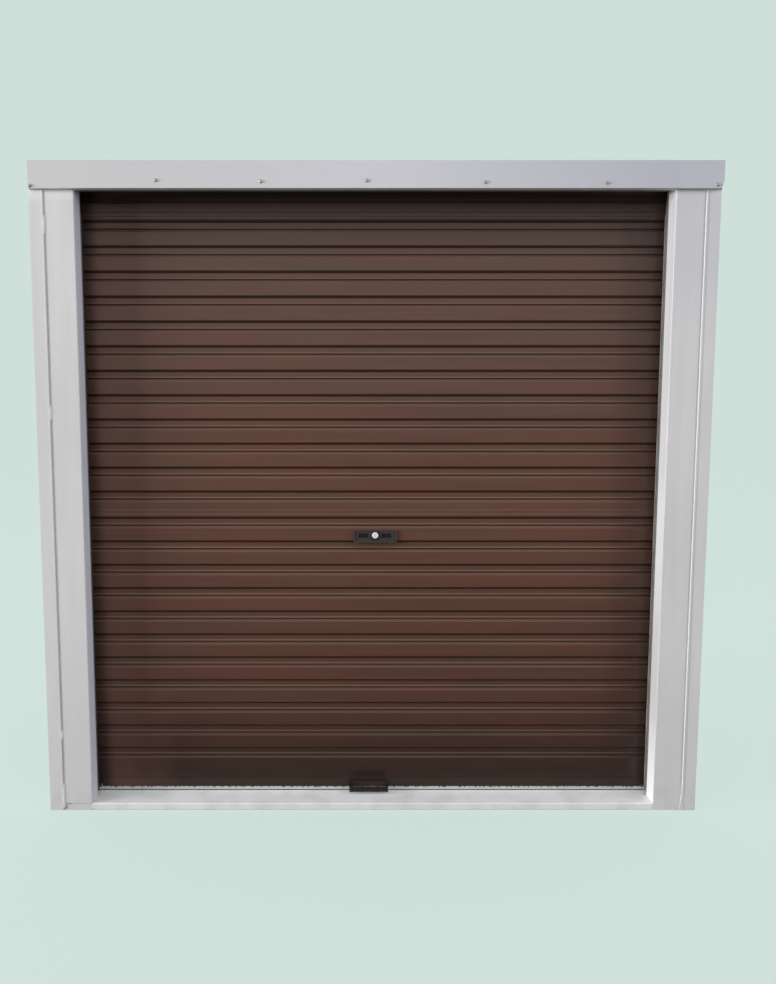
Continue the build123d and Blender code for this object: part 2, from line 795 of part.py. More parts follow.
# Lock case behind the curtain: its feet stand on the recesses above and below the lock's band
recess_middle = band_slope / 2 + recess_length / 2
band_edge = max(height for height in sheet_ribs["lower_curtain"] if height < lock_height)
feet_heights = (band_edge - recess_middle, band_edge + rib_pitch - recess_middle)
with BuildPart() as case:
    case_bottom, case_top = feet_heights
    case_middle = (case_bottom + case_top) / 2
    case_height = case_top - case_bottom
    with Locations((lock_centre, recess_back, case_middle)):
        Box(
            case_width,
            case_back - recess_back,
            case_height,
            align=(Align.CENTER, Align.MIN, Align.CENTER),
        )
        Box(
            case_width - 2 * case_wall,
            case_front - recess_back,
            case_height - 2 * case_wall,
            align=(Align.CENTER, Align.MIN, Align.CENTER),
            mode=Mode.SUBTRACT,
        )
    for foot_z in feet_heights:
        with Locations((lock_centre, recess_back, foot_z)):
            Box(case_width, case_wall, case_foot, align=(Align.CENTER, Align.MIN, Align.CENTER))
    with Locations((lock_centre, recess_back, lock_height)):
        Box(
            case_width,
            bolt_back + case_bolt_gap - recess_back,
            2 * (fork_top + case_bolt_gap),
            align=(Align.CENTER, Align.MIN, Align.CENTER),
            mode=Mode.SUBTRACT,
        )
    with BuildSketch(Plane.XZ.offset(-case_back)):
        with Locations(lock_xz):
            Circle(spindle_radius + barrel_clearance)
    extrude(amount=case_wall, mode=Mode.SUBTRACT)
save(case.part, "lock_case")

for side, side_name in ((1, "right"), (-1, "left")):
    strap_front = bolt_back + strap_bolt_gap
    with BuildPart() as strap:
        with Locations((side * strap_offset, strap_front, case_middle)):
            Box(
                strap_width,
                strap_thickness,
                case_height + strap_foot,
                align=(Align.CENTER, Align.MIN, Align.CENTER),
            )
        for foot_z in feet_heights:
            with Locations((side * strap_offset, recess_back, foot_z)):
                Box(
                    strap_width,
                    strap_front - recess_back,
                    strap_foot,
                    align=(Align.CENTER, Align.MIN, Align.CENTER),
                )
    save(strap.part, side_name + "_bolt_strap")

# Axle with drum wheels, springs and spring collars
bracket_x = half_curtain + bracket_gap
half_axle = bracket_x + bracket_ledge_width / 2 + axle_past_bracket
axle_yz = (axle_y, axle_height)


def flat_sided(radius, sides, mode=Mode.ADD):
    """A regular outline with the middle of one flat at the back."""
    return RegularPolygon(radius, sides, rotation=180 / sides, mode=mode)


def tube(start, length, outer_radius, inner_radius):
    """A tube round the axle, from the given X."""
    with BuildPart() as piece:
        with BuildSketch(Plane.YZ.offset(start)):
            with Locations(axle_yz):
                Circle(outer_radius)
                Circle(inner_radius, mode=Mode.SUBTRACT)
        extrude(amount=length)
    return piece.part


save(tube(-half_axle, 2 * half_axle, axle_radius, axle_radius - axle_wall), "axle")

wheel_x = half_opening - wheel_inset
for wheel_name, centre_x in (("left", -wheel_x), ("middle", 0.0), ("right", wheel_x)):
    with BuildPart() as wheel:
        with BuildSketch(Plane.YZ.offset(centre_x - wheel_width / 2)):
            with Locations(axle_yz):
                Circle(wheel_radius)
                flat_sided(wheel_radius - wheel_rim, wheel_flats, Mode.SUBTRACT)
                flat_sided(wheel_hub_radius, wheel_flats)
                Circle(axle_radius, mode=Mode.SUBTRACT)
        extrude(amount=wheel_width)
        with BuildSketch(Plane.YZ.offset(centre_x - wheel_spoke_thickness / 2)):
            with Locations(axle_yz):
                with PolarLocations(0, wheel_spokes):
                    with Locations(((wheel_hub_radius + wheel_radius) / 2 - wheel_rim / 2, 0)):
                        Rectangle(wheel_radius - wheel_hub_radius, wheel_spoke_width)
        extrude(amount=wheel_spoke_thickness)
    save(wheel.part, wheel_name + "_drum_wheel")

spring_x = wheel_width / 2
spring = tube(spring_x, spring_length, spring_outer_radius, spring_outer_radius - spring_wire)
save_pair(spring, "spring")
with BuildPart() as collar:
    with BuildSketch(Plane.YZ.offset(spring_x + spring_length)):
        with Locations(axle_yz):
            flat_sided(collar_radius, collar_flats)
            Circle(axle_radius, mode=Mode.SUBTRACT)
    extrude(amount=collar_width)
save_pair(collar.part, "spring_collar")

# Brackets on the posts and the clamps that hold the axle
ledge_top = axle_height - axle_radius
bracket_foot_bottom = guide_top + bracket_guide_gap
bracket_foot_top = axle_height + bracket_foot_rise
arm_end_y = axle_y + bracket_ledge_past_axle
with BuildPart() as bracket:
    with Locations((bracket_x, post_back, bracket_foot_bottom)):
        Box(
            bracket_foot_width,
            bracket_plate,
            bracket_foot_top - bracket_foot_bottom,
            align=(Align.CENTER, Align.MIN, Align.MIN),
        )
    with BuildSketch(Plane.YZ.offset(bracket_x - bracket_plate / 2)):
        with BuildLine():
            Polyline(
                (post_back, bracket_foot_bottom),
                (post_back, ledge_top),
                (arm_end_y, ledge_top),
                (arm_end_y, ledge_top - bracket_toe_height),
                close=True,
            )
        make_face()
    extrude(amount=bracket_plate)
    with Locations((bracket_x, post_back, ledge_top)):
        Box(
            bracket_ledge_width,
            arm_end_y - post_back,
            bracket_plate,
            align=(Align.CENTER, Align.MIN, Align.MAX),
        )
save_pair(bracket.part, "bracket")

with BuildPart() as clamp:
    strap_half = axle_radius + clamp_strap
    with BuildSketch(Plane.YZ.offset(bracket_x - clamp_width / 2)):
        with Locations(axle_yz):
            Circle(strap_half)
        with Locations((axle_y, ledge_top)):
            Rectangle(2 * strap_half, axle_radius, align=(Align.CENTER, Align.MIN))
            Rectangle(
                2 * (strap_half + clamp_foot), clamp_strap, align=(Align.CENTER, Align.MIN)
            )
        with Locations(axle_yz):
            Circle(axle_radius, mode=Mode.SUBTRACT)
        with Locations((axle_y, ledge_top)):
            Rectangle(
                2 * axle_radius, axle_radius, align=(Align.CENTER, Align.MIN), mode=Mode.SUBTRACT
            )
            Rectangle(
                2 * strap_half, strap_half, align=(Align.CENTER, Align.MAX), mode=Mode.SUBTRACT
            )
    extrude(amount=clamp_width)
save_pair(clamp.part, "axle_clamp")
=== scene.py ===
"""Dresses the roller garage door: finishes, fasteners, sealant, springs and a plain stage."""

import json
import math

import bmesh
import bpy
from mathutils import Matrix, Vector


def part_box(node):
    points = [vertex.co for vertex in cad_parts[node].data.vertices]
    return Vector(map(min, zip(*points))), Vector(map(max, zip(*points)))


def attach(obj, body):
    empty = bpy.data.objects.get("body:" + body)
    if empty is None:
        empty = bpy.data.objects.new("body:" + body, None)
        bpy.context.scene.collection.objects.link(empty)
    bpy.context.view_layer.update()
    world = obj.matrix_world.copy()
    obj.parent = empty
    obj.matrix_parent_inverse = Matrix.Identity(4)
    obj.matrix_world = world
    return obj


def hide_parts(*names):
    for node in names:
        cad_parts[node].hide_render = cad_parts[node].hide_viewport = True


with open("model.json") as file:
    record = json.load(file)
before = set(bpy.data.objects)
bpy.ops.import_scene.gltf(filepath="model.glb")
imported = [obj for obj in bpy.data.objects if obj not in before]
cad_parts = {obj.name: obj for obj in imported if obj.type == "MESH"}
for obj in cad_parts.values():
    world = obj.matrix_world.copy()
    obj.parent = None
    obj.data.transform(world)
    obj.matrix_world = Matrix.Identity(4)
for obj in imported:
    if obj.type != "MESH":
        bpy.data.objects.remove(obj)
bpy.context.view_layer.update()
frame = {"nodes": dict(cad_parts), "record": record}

bl_info = {
    "name": "Roller Garage Door",
    "version": (1, 0, 0),
    "blender": (4, 5, 0),
    "location": "3D View > Sidebar > Door",
    "description": "Finishes, fasteners and stage for a ribbed steel roller door in a white frame",
    "category": "Object",
}

MM = 0.001
PHOTO_WIDTH = 776
PHOTO_HEIGHT = 984
PHOTO_AXIS_COLUMN = 344.1  # where the photograph's optical axis meets the picture
SENSOR_WIDTH = 36  # mm, for the focal length
HEXAGON = 6  # sides of a screw's head
MIX_FACTOR, MIX_FIRST, MIX_SECOND, MIX_RESULT = 0, 6, 7, 2  # sockets of a colour mix
# Places that the finishes follow: sideways from the door's middle, up from the floor and back
# from the middle of the sill
OPENING_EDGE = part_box("sill")[1].x
SILL_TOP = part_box("sill")[1].z
HEADER_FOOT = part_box("header_flashing")[0].z
FRAME_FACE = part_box("right_jamb")[0].y
SEAM = 1.0865  # between a jamb's face and its corner strip


def srgb(red, green, blue):
    """A colour given as 0 to 255 on a screen, as the linear numbers that shaders use."""
    out = []
    for part in (red / 255, green / 255, blue / 255):
        out.append(part / 12.92 if part <= 0.04045 else ((part + 0.055) / 1.055) ** 2.4)
    return tuple(out)


def colour_property(name, description, default):
    return bpy.props.FloatVectorProperty(
        name=name, description=description, default=default, subtype="COLOR", min=0, max=1
    )


def length_property(name, description, millimetres):
    return bpy.props.FloatProperty(
        name=name, description=description, default=millimetres * MM, unit="LENGTH"
    )


def power_property(name, description, watts):
    return bpy.props.FloatProperty(
        name=name, description=description, default=watts, min=0, unit="POWER"
    )


class DoorFinishes(bpy.types.PropertyGroup):
    """Colours and gloss of the door's finishes."""

    frame_colour: colour_property("Frame", "Powder coat of the frame", srgb(224, 223, 224))
    curtain_colour: colour_property("Curtain", "Coil coat of the curtain", srgb(98, 68, 57))
    curtain_roughness: bpy.props.FloatProperty(
        name="Curtain roughness",
        description="How dull the curtain's coat is",
        default=0.36,
        min=0,
        max=1,
        subtype="FACTOR",
    )
    zinc_colour: colour_property(
        "Galvanising", "Hot-dip zinc on posts and guides", srgb(158, 159, 160)
    )
    nylon_colour: colour_property("Nylon", "Guide liners and drum wheels", srgb(206, 203, 196))
    plastic_colour: colour_property("Plastic", "Lock plate, lift handle and knob", srgb(64, 58, 57))
    rubber_colour: colour_property("Rubber", "Weather seal", srgb(26, 26, 26))
    aluminium_colour: colour_property("Aluminium", "Seal carrier", srgb(208, 206, 205))


class DoorFasteners(bpy.types.PropertyGroup):
    """Sizes of the screws, bolts, rivets and springs."""

    screw_washer: length_property("Screw washer", "Diameter of a header screw's washer", 12.5)
    screw_head: length_property("Screw head", "Width of a header screw across its flats", 8.0)
    screw_height: length_property("Screw height", "Height of a header screw's head", 4.5)
    bolt_washer: length_property("Bolt washer", "Diameter of a bracket bolt's washer", 17.0)
    bolt_head: length_property("Bolt head", "Width of a bracket bolt across its flats", 11.0)
    bolt_height: length_property("Bolt height", "Height of a bracket bolt's head", 5.5)
    rivet_head: length_property("Rivet head", "Diameter of a rivet's head", 7.0)
    spring_wire: length_property("Spring wire", "Diameter of the spring's wire", 6.2)
    left_bead: length_property("Left bead", "Width of the sealant in the left seam", 11.0)
    right_bead: length_property("Right bead", "Width of the sealant in the right seam", 4.0)


class DoorStage(bpy.types.PropertyGroup):
    """The floor, the light and the camera."""

    backdrop_colour: colour_property("Backdrop", "Pale colour behind the door", srgb(206, 224, 217))
    ground_colour: colour_property("Ground", "The floor as it lights the door", srgb(102, 101, 99))
    focal_length: bpy.props.FloatProperty(
        name="Focal length",
        description="Lens on a 36 mm sensor along the picture's long side",
        default=28.39,
        min=1,
        unit="CAMERA",
    )
    camera_across: length_property("Across", "Camera right of the door's middle", -101)
    camera_distance: length_property("Distance", "From the frame's face to the camera", 2628)
    camera_height: length_property("Height", "Camera above the floor", 1376)
    camera_pitch: bpy.props.FloatProperty(
        name="Pitch",
        description="How far the camera looks down",
        default=math.radians(5.36),
        subtype="ANGLE",
    )
    key_power: power_property("Key panel", "Power of the large panel far out at the left", 1700)
    fill_power: power_property("Fill panel", "Power of the weaker panel at the right", 260)
    sky_strength: bpy.props.FloatProperty(
        name="Sky", description="Strength of the even light from overhead", default=1.05, min=0
    )
    ground_strength: bpy.props.FloatProperty(
        name="Ground", description="Strength of the even light at the horizon", default=0.42, min=0
    )


def add_node(tree, kind, inputs=None, **settings):
    """Adds a shader node; inputs take values or the outputs of other nodes."""
    node = tree.nodes.new(kind)
    for name, value in settings.items():
        setattr(node, name, value)
    for name, value in (inputs or {}).items():
        if isinstance(value, bpy.types.NodeSocket):
            tree.links.new(value, node.inputs[name])
        else:
            node.inputs[name].default_value = value
    return node


def new_material(name, inputs):
    """A material with one Principled shader; inputs are set on the shader's own sockets."""
    material = bpy.data.materials.new(name)
    material.use_nodes = True
    tree = material.node_tree
    shader = tree.nodes["Principled BSDF"]
    for socket, value in inputs.items():
        shader.inputs[socket].default_value = value
    return material, tree, shader


def link(tree, shader, tone, roughness, normal):
    """Links a finish's colour, gloss and relief to its shader."""
    for name, output in (("Base Color", tone), ("Roughness", roughness), ("Normal", normal)):
        tree.links.new(output, shader.inputs[name])


def place(tree, scale=(1, 1, 1), location=(0, 0, 0)):
    """Object coordinates in metres, stretched and moved."""
    where = add_node(tree, "ShaderNodeTexCoord")
    inputs = {"Vector": where.outputs["Object"], "Scale": scale, "Location": location}
    return add_node(tree, "ShaderNodeMapping", inputs).outputs["Vector"]


def noise(tree, vector, scale, detail=3.0, roughness=0.5):
    inputs = {"Vector": vector, "Scale": scale, "Detail": detail, "Roughness": roughness}
    return add_node(tree, "ShaderNodeTexNoise", inputs).outputs["Fac"]


def remap(tree, value, low, high, to_low=0, to_high=1):
    """Spreads a value's range over another, held at both ends."""
    names = ("Value", "From Min", "From Max", "To Min", "To Max")
    inputs = dict(zip(names, (value, low, high, to_low, to_high)))
    return add_node(tree, "ShaderNodeMapRange", inputs).outputs["Result"]


def mix_colour(tree, factor, first, second):
    node = add_node(tree, "ShaderNodeMix", data_type="RGBA")
    sockets = (node.inputs[MIX_FACTOR], node.inputs[MIX_FIRST], node.inputs[MIX_SECOND])
    for socket, value in zip(sockets, (factor, first, second)):
        if isinstance(value, bpy.types.NodeSocket):
            tree.links.new(value, socket)
        elif isinstance(value, (int, float)):
            socket.default_value = value
        else:
            socket.default_value = (*value[:3], 1)
    return node.outputs[MIX_RESULT]


def maths(tree, operation, first, second):
    node = add_node(tree, "ShaderNodeMath", operation=operation)
    for socket, value in zip(node.inputs, (first, second)):
        if isinstance(value, bpy.types.NodeSocket):
            tree.links.new(value, socket)
        else:
            socket.default_value = value
    return node.outputs[0]


def along_axis(tree, vector, axis):
    return add_node(tree, "ShaderNodeSeparateXYZ", {"Vector": vector}).outputs[axis]


def height_above_floor(tree):
    return along_axis(tree, place(tree), "Z")


def across_door(tree):
    """How far right of the door's middle."""
    return along_axis(tree, place(tree), "X")


def into_building(tree):
    """How far back from the middle of the sill."""
    return along_axis(tree, place(tree), "Y")


def facing_up(tree):
    """1 where the surface looks straight up, below 0 where it looks down."""
    return along_axis(tree, add_node(tree, "ShaderNodeNewGeometry").outputs["Normal"], "Z")


def band(tree, value, middle, half, soft):
    """1 within half a width of a middle, falling to 0 over a soft edge."""
    away = maths(tree, "ABSOLUTE", maths(tree, "SUBTRACT", value, middle), 0)
    return remap(tree, away, half, half + soft, 1, 0)


def both(tree, *masks):
    """Where all masks hold; a number takes a share of them."""
    out = masks[0]
    for mask in masks[1:]:
        out = maths(tree, "MULTIPLY", out, mask)
    return out


def hollows(tree, reach, closed, open_share):
    """1 deep in grooves and corners narrower than the reach, 0 where the surface lies open."""
    light = add_node(
        tree, "ShaderNodeAmbientOcclusion", {"Distance": reach}, samples=8, only_local=True
    ).outputs["AO"]
    return remap(tree, light, closed, open_share, 1, 0)


def surface(tree, height, distance, edge=0.0, strength=1.0):
    """The surface's direction: fine relief over edges rounded by the given radius."""
    inputs = {"Height": height, "Distance": distance, "Strength": strength}
    if edge:
        inputs["Normal"] = add_node(
            tree, "ShaderNodeBevel", {"Radius": edge}, samples=4
        ).outputs["Normal"]
    return add_node(tree, "ShaderNodeBump", inputs).outputs["Normal"]


def shade(colour, factor):
    """A colour made lighter or darker."""
    return tuple(min(1.0, part * factor) for part in colour[:3])


def drifting_white(tree, colour):
    """The frame's white, uneven along its length and finely specked."""
    drift = noise(tree, place(tree, (14, 14, 0.8)), 2.0, 4.0)
    darker, lighter = shade(colour, 0.955), shade(colour, 1.02)
    tone = mix_colour(tree, remap(tree, drift, 0.35, 0.65), darker, lighter)
    broad = noise(tree, place(tree, (1, 1, 0.6)), 3.0, 2.0)
    tone = mix_colour(tree, remap(tree, broad, 0.4, 0.65, 0, 0.3), tone, srgb(205, 202, 199))
    specks = noise(tree, place(tree), 60.0, 6.0, 0.65)
    return mix_colour(tree, remap(tree, specks, 0.64, 0.8, 0, 0.3), tone, srgb(150, 149, 146))


def header_tones(tree, tone, height, across):
    """Painted light and shade on the header: its tone lightest in the middle, darker towards the
    ends and darkest and bluest at the right, its underside painted near white, and the frame just
    below it painted paler against the header's shadow.
    """
    # painted shade: the header's tone falls from the middle towards the ends, most at the right, as
    # its light does
    left, middle, right = srgb(212, 211, 212), srgb(217, 216, 222), srgb(187, 188, 199)
    header = mix_colour(tree, remap(tree, across, -0.9, -0.1), left, middle)
    header = mix_colour(tree, remap(tree, across, 0.1, 1.0, 0, 0.85), header, right)
    # painted light: the underside, which faces down into shade, is painted near white
    underside = remap(tree, facing_up(tree), -0.5, -0.8)
    header = mix_colour(tree, underside, header, srgb(250, 249, 249))
    on_header = remap(tree, height, HEADER_FOOT - 6 * MM, HEADER_FOOT + 2 * MM)
    tone = mix_colour(tree, on_header, tone, header)
    # painted light: a paler band on the frame just below the header, against the header's shadow
    jamb_top_painted_light = both(
        tree,
        remap(tree, height, HEADER_FOOT - 41 * MM, HEADER_FOOT - 6 * MM, 0, 0.9),
        remap(tree, height, HEADER_FOOT - 2 * MM, HEADER_FOOT, 1, 0),
    )
    return mix_colour(tree, jamb_top_painted_light, tone, srgb(250, 249, 248))


def jamb_tones(tree, tone, height, across):
    """Painted light and shade on the jambs: the right one darker and bluer near its top, the left
    reveal, which lies in shade, paler and bluish, the right reveal near white at its foot and
    halfway up, the faces darker towards the bottom; and a rubbed band on the right reveal.
    """
    depth = into_building(tree)
    # painted shade: the right jamb darker and bluer near its top
    upper_right = both(
        tree,
        remap(tree, across, OPENING_EDGE, OPENING_EDGE + 10 * MM, 0, 0.5),
        band(tree, height, 2.02, 0.14, 0.25),
    )
    tone = mix_colour(tree, upper_right, tone, srgb(200, 200, 208))
    reveal = both(
        tree,
        remap(tree, depth, FRAME_FACE + 1 * MM, FRAME_FACE + 3 * MM),
        remap(tree, height, SILL_TOP + 2 * MM, SILL_TOP + 3 * MM),
    )
    # painted light and shade: the left reveal, which lies in shade, painted paler and bluish
    on_left = remap(tree, across, -OPENING_EDGE, 5 * MM - OPENING_EDGE, 0.7, 0)
    tone = mix_colour(tree, both(tree, reveal, on_left), tone, srgb(228, 228, 246))
    # painted light: the lit right reveal painted near white at its foot and halfway up
    on_right = remap(tree, across, OPENING_EDGE - 5 * MM, OPENING_EDGE)
    at_foot = remap(tree, height, 0.1, 0.33, 1, 0.08)
    halfway_up = both(tree, band(tree, height, 0.98, 0.1, 0.15), 0.45)
    right_side_painted_light = both(tree, reveal, on_right, maths(tree, "MAXIMUM", at_foot, halfway_up))
    tone = mix_colour(tree, right_side_painted_light, tone, srgb(254, 253, 252))
    # painted shade: the frame's faces darker towards the bottom, more at the left than at the right
    lower_face_painted_shade = both(
        tree,
        remap(tree, depth, FRAME_FACE + 0.5 * MM, FRAME_FACE + 1 * MM, 1, 0),
        remap(tree, across, -OPENING_EDGE, OPENING_EDGE, 0.32, 0.12),
        remap(tree, height, 0.2, 1.9, 1, 0),
    )
    tone = mix_colour(tree, lower_face_painted_shade, tone, srgb(196, 194, 193))
    rubbed = both(tree, reveal, on_right, band(tree, height, 0.52, 0.1, 0.12))
    return mix_colour(tree, both(tree, rubbed, 0.4), tone, srgb(200, 196, 194))


def sill_tones(tree, tone, height, across, colour):
    """Painted light: the sill between the jambs painted paler than the frame, its top palest."""
    on_sill = both(
        tree,
        band(tree, across, 0, OPENING_EDGE, 1 * MM),
        remap(tree, height, SILL_TOP + 1.5 * MM, SILL_TOP + 3 * MM, 1, 0),
    )
    # painted light: the top, which faces up into the light, painted palest
    top_painted_light = remap(tree, facing_up(tree), 0.9, 0.97)
    sill = mix_colour(tree, top_painted_light, shade(colour, 1.13), shade(colour, 1.22))
    return mix_colour(tree, on_sill, tone, sill)


def frame_dirt(tree, tone, height, across):
    """Splashes near the floor, dirt in the seams, and the crack and the chip at the left foot."""
    patches = remap(tree, noise(tree, place(tree), 12.0, 5.0), 0.45, 0.7)
    low = both(tree, patches, remap(tree, height, 0.0, 0.14, 0.25, 0))
    tone = mix_colour(tree, low, tone, srgb(160, 157, 152))
    ragged = noise(tree, place(tree, (90, 90, 40)), 1.0, 3.0)
    seam = both(
        tree,
        band(tree, maths(tree, "ABSOLUTE", across, 0), SEAM, 2 * MM, 1.5 * MM),
        remap(tree, height, 0.08, 0.1),
        remap(tree, height, HEADER_FOOT - 6 * MM, HEADER_FOOT - 1 * MM, 1, 0),
        remap(tree, ragged, 0.3, 0.5, 0.5, 1),
    )
    tone = mix_colour(tree, both(tree, seam, 0.4), tone, srgb(150, 148, 146))
    crack = both(
        tree,
        band(tree, height, 24.5 * MM, 0.6 * MM, 1.2 * MM),
        band(tree, across, -1.032, 40 * MM, 5 * MM),
        remap(tree, ragged, 0.35, 0.55, 0.15, 0.6),
    )
    tone = mix_colour(tree, crack, tone, srgb(150, 147, 144))
    blob = both(
        tree,
        band(tree, across, -1.082, 2.5 * MM, 6 * MM),
        band(tree, height, 13 * MM, 4 * MM, 8 * MM),
    )
    line = both(
        tree,
        band(tree, across, -1.076, 8 * MM, 8 * MM),
        band(tree, height, 23.5 * MM, 1 * MM, 3 * MM),
    )
    chip = both(tree, maths(tree, "MAXIMUM", blob, line), remap(tree, ragged, 0.3, 0.6, 0.35, 1))
    return mix_colour(tree, both(tree, chip, 0.6), tone, srgb(96, 92, 88))


def white_powder_coat(finishes):
    """White powder coat with fine peel, painted light and shade by its place on the frame and in
    its corners, and its dirt.
    """
    colour = finishes.frame_colour
    material, tree, shader = new_material("white_powder_coat", {"Coat Weight": 0.08})
    height, across = height_above_floor(tree), across_door(tree)
    tone = drifting_white(tree, colour)
    tone = header_tones(tree, tone, height, across)
    tone = jamb_tones(tree, tone, height, across)
    tone = sill_tones(tree, tone, height, across, colour)
    tone = frame_dirt(tree, tone, height, across)
    # painted shade: corners and creases darkened where shade falls
    corners = both(tree, hollows(tree, 6 * MM, 0.2, 0.7), 0.5)
    tone = mix_colour(tree, corners, tone, srgb(140, 136, 132))
    peel = noise(tree, place(tree), 260.0, 2.0)
    roughness = remap(tree, peel, 0.3, 0.7, 0.4, 0.54)
    link(tree, shader, tone, roughness, surface(tree, peel, 0.0002, 1.2 * MM, 0.4))
    return material


def brushed_sealant(finishes):
    """White sealant smoothed along the frame's seams and painted over, with painted light on the
    right-hand beads.
    """
    colour = finishes.frame_colour
    material, tree, shader = new_material("brushed_sealant", {"Coat Weight": 0.05})
    smears = noise(tree, place(tree, (40, 40, 6)), 3.0, 4.0)
    darker, lighter = shade(colour, 0.98), shade(colour, 1.06)
    tone = mix_colour(tree, remap(tree, smears, 0.35, 0.65), darker, lighter)
    # painted light: the sealant on the lit right side painted paler, less so near the floor
    right_side_painted_light = both(
        tree,
        remap(tree, across_door(tree), OPENING_EDGE, OPENING_EDGE + 10 * MM, 0, 0.8),
        remap(tree, height_above_floor(tree), 0.0, 0.1, 0.4, 1),
    )
    tone = mix_colour(tree, right_side_painted_light, tone, srgb(246, 246, 245))
    roughness = remap(tree, smears, 0.3, 0.7, 0.42, 0.58)
    link(tree, shader, tone, roughness, surface(tree, smears, 0.0006, 0, 0.5))
    return material


def rib_drifts(tree, colour):
    """The curtain's brown with soft reddish and olive drifts and fine lines along the ribs."""
    along = noise(tree, place(tree, (0.5, 1, 14)), 2.2, 2.0)
    olive, reddish = shade(colour, 0.92), srgb(106, 68, 56)
    tone = mix_colour(tree, remap(tree, along, 0.35, 0.65), olive, reddish)
    patches = noise(tree, place(tree, (0.9, 1, 4), (3, 0, 0)), 2.4, 2.0)
    tone = mix_colour(tree, remap(tree, patches, 0.46, 0.72, 0, 0.5), tone, srgb(96, 73, 58))
    lines = noise(tree, place(tree, (1, 1, 220)), 2.0, 2.0)
    return mix_colour(tree, remap(tree, lines, 0.5, 0.8, 0, 0.15), tone, srgb(124, 96, 82))


def curtain_tones(tree, tone, height, across):
    """Painted shade towards the sill, a painted grey reflection higher up, painted shade below the
    header and at the edges, dust and painted light on faces that look up, and painted light over
    the left part.
    """
    # painted shade: darker towards the sill and over the lower half
    near_sill = remap(tree, height, 0.05, 0.4, 0.55, 0)
    lower_half = remap(tree, height, 0.05, 1.1, 0.43, 0)
    lower_painted_shade = maths(tree, "ADD", near_sill, lower_half)
    tone = mix_colour(tree, lower_painted_shade, tone, srgb(44, 30, 23))
    # painted reflection: the upper part greyer, like the pale surroundings mirrored in the gloss
    upper_painted_reflection = remap(tree, height, 1.2, 2.0, 0, 0.32)
    tone = mix_colour(tree, upper_painted_reflection, tone, srgb(96, 82, 77))
    # painted shade: darker just below the header, where its shadow falls
    below_header = remap(tree, height, 1.93, 2.08, 0, 0.6)
    at_header = remap(tree, height, 2.1, HEADER_FOOT - 1 * MM, 0, 0.25)
    under_header_painted_shade = maths(tree, "ADD", below_header, at_header)
    tone = mix_colour(tree, under_header_painted_shade, tone, srgb(47, 42, 41))
    # dust and painted light: faces that look up made paler, more so higher up
    dust_and_painted_light = both(
        tree,
        remap(tree, facing_up(tree), 0.2, 0.6, 0, 0.4),
        remap(tree, height, 0.05, 1.0, 0.3, 1),
    )
    tone = mix_colour(tree, dust_and_painted_light, tone, srgb(128, 106, 94))
    # painted light: the left part paler, against the left jamb's shadow
    left_painted_light = both(
        tree,
        remap(tree, across, -0.97, -0.94),
        remap(tree, across, -0.9, -0.7, 0.45, 0),
    )
    tone = mix_colour(tree, left_painted_light, tone, srgb(120, 86, 74))
    # painted shade: darker at both side edges
    left_edge = remap(tree, across, -0.98, -0.955, 0.4, 0)
    right_edge = remap(tree, across, 0.84, 0.99, 0, 0.6)
    edges = maths(tree, "MAXIMUM", right_edge, left_edge)
    return mix_colour(tree, edges, tone, srgb(44, 31, 26))


def curtain_dirt(tree, tone, height, across):
    """Painted shadow above the lift handle, and painted shade in the ribs' grooves and on faces
    that look down.
    """
    # painted shadow: a dark patch on the curtain just above the lift handle
    mark = both(
        tree,
        band(tree, across, -12 * MM, 52 * MM, 20 * MM),
        band(tree, height, 85 * MM, 6 * MM, 6 * MM),
        remap(tree, noise(tree, place(tree, (12, 1, 60)), 2.0, 3.0), 0.3, 0.6, 0.3, 0.75),
    )
    tone = mix_colour(tree, mark, tone, srgb(26, 18, 12))
    # painted shade: the ribs' grooves darkened where shade falls
    groove_painted_shade = both(tree, hollows(tree, 12 * MM, 0.3, 0.75), 0.75)
    tone = mix_colour(tree, groove_painted_shade, tone, srgb(42, 27, 21))
    # painted shade: faces that look down darkened
    looks_down = remap(tree, facing_up(tree), -0.15, -0.5, 0, 0.6)
    return mix_colour(tree, looks_down, tone, srgb(26, 14, 10))


def brown_coil_coat(finishes):
    """Glossy brown coil coat, with painted light, shade, shadow and reflection by its place on the
    curtain, and dust on faces that look up.
    """
    material, tree, shader = new_material(
        "brown_coil_coat", {"Specular IOR Level": 0.3, "Coat Weight": 0.15, "Coat Roughness": 0.2}
    )
    height, across = height_above_floor(tree), across_door(tree)
    tone = rib_drifts(tree, finishes.curtain_colour)
    tone = curtain_tones(tree, tone, height, across)
    tone = curtain_dirt(tree, tone, height, across)
    dust = noise(tree, place(tree, (2, 2, 9)), 5.0, 5.0, 0.65)
    waves = noise(tree, place(tree, (1, 1, 8)), 2.0, 2.0)
    gloss = finishes.curtain_roughness
    roughness = remap(tree, dust, 0.3, 0.75, gloss - 0.05, gloss + 0.1)
    link(tree, shader, tone, roughness, surface(tree, waves, 0.003, 0.6 * MM, 0.5))
    return material


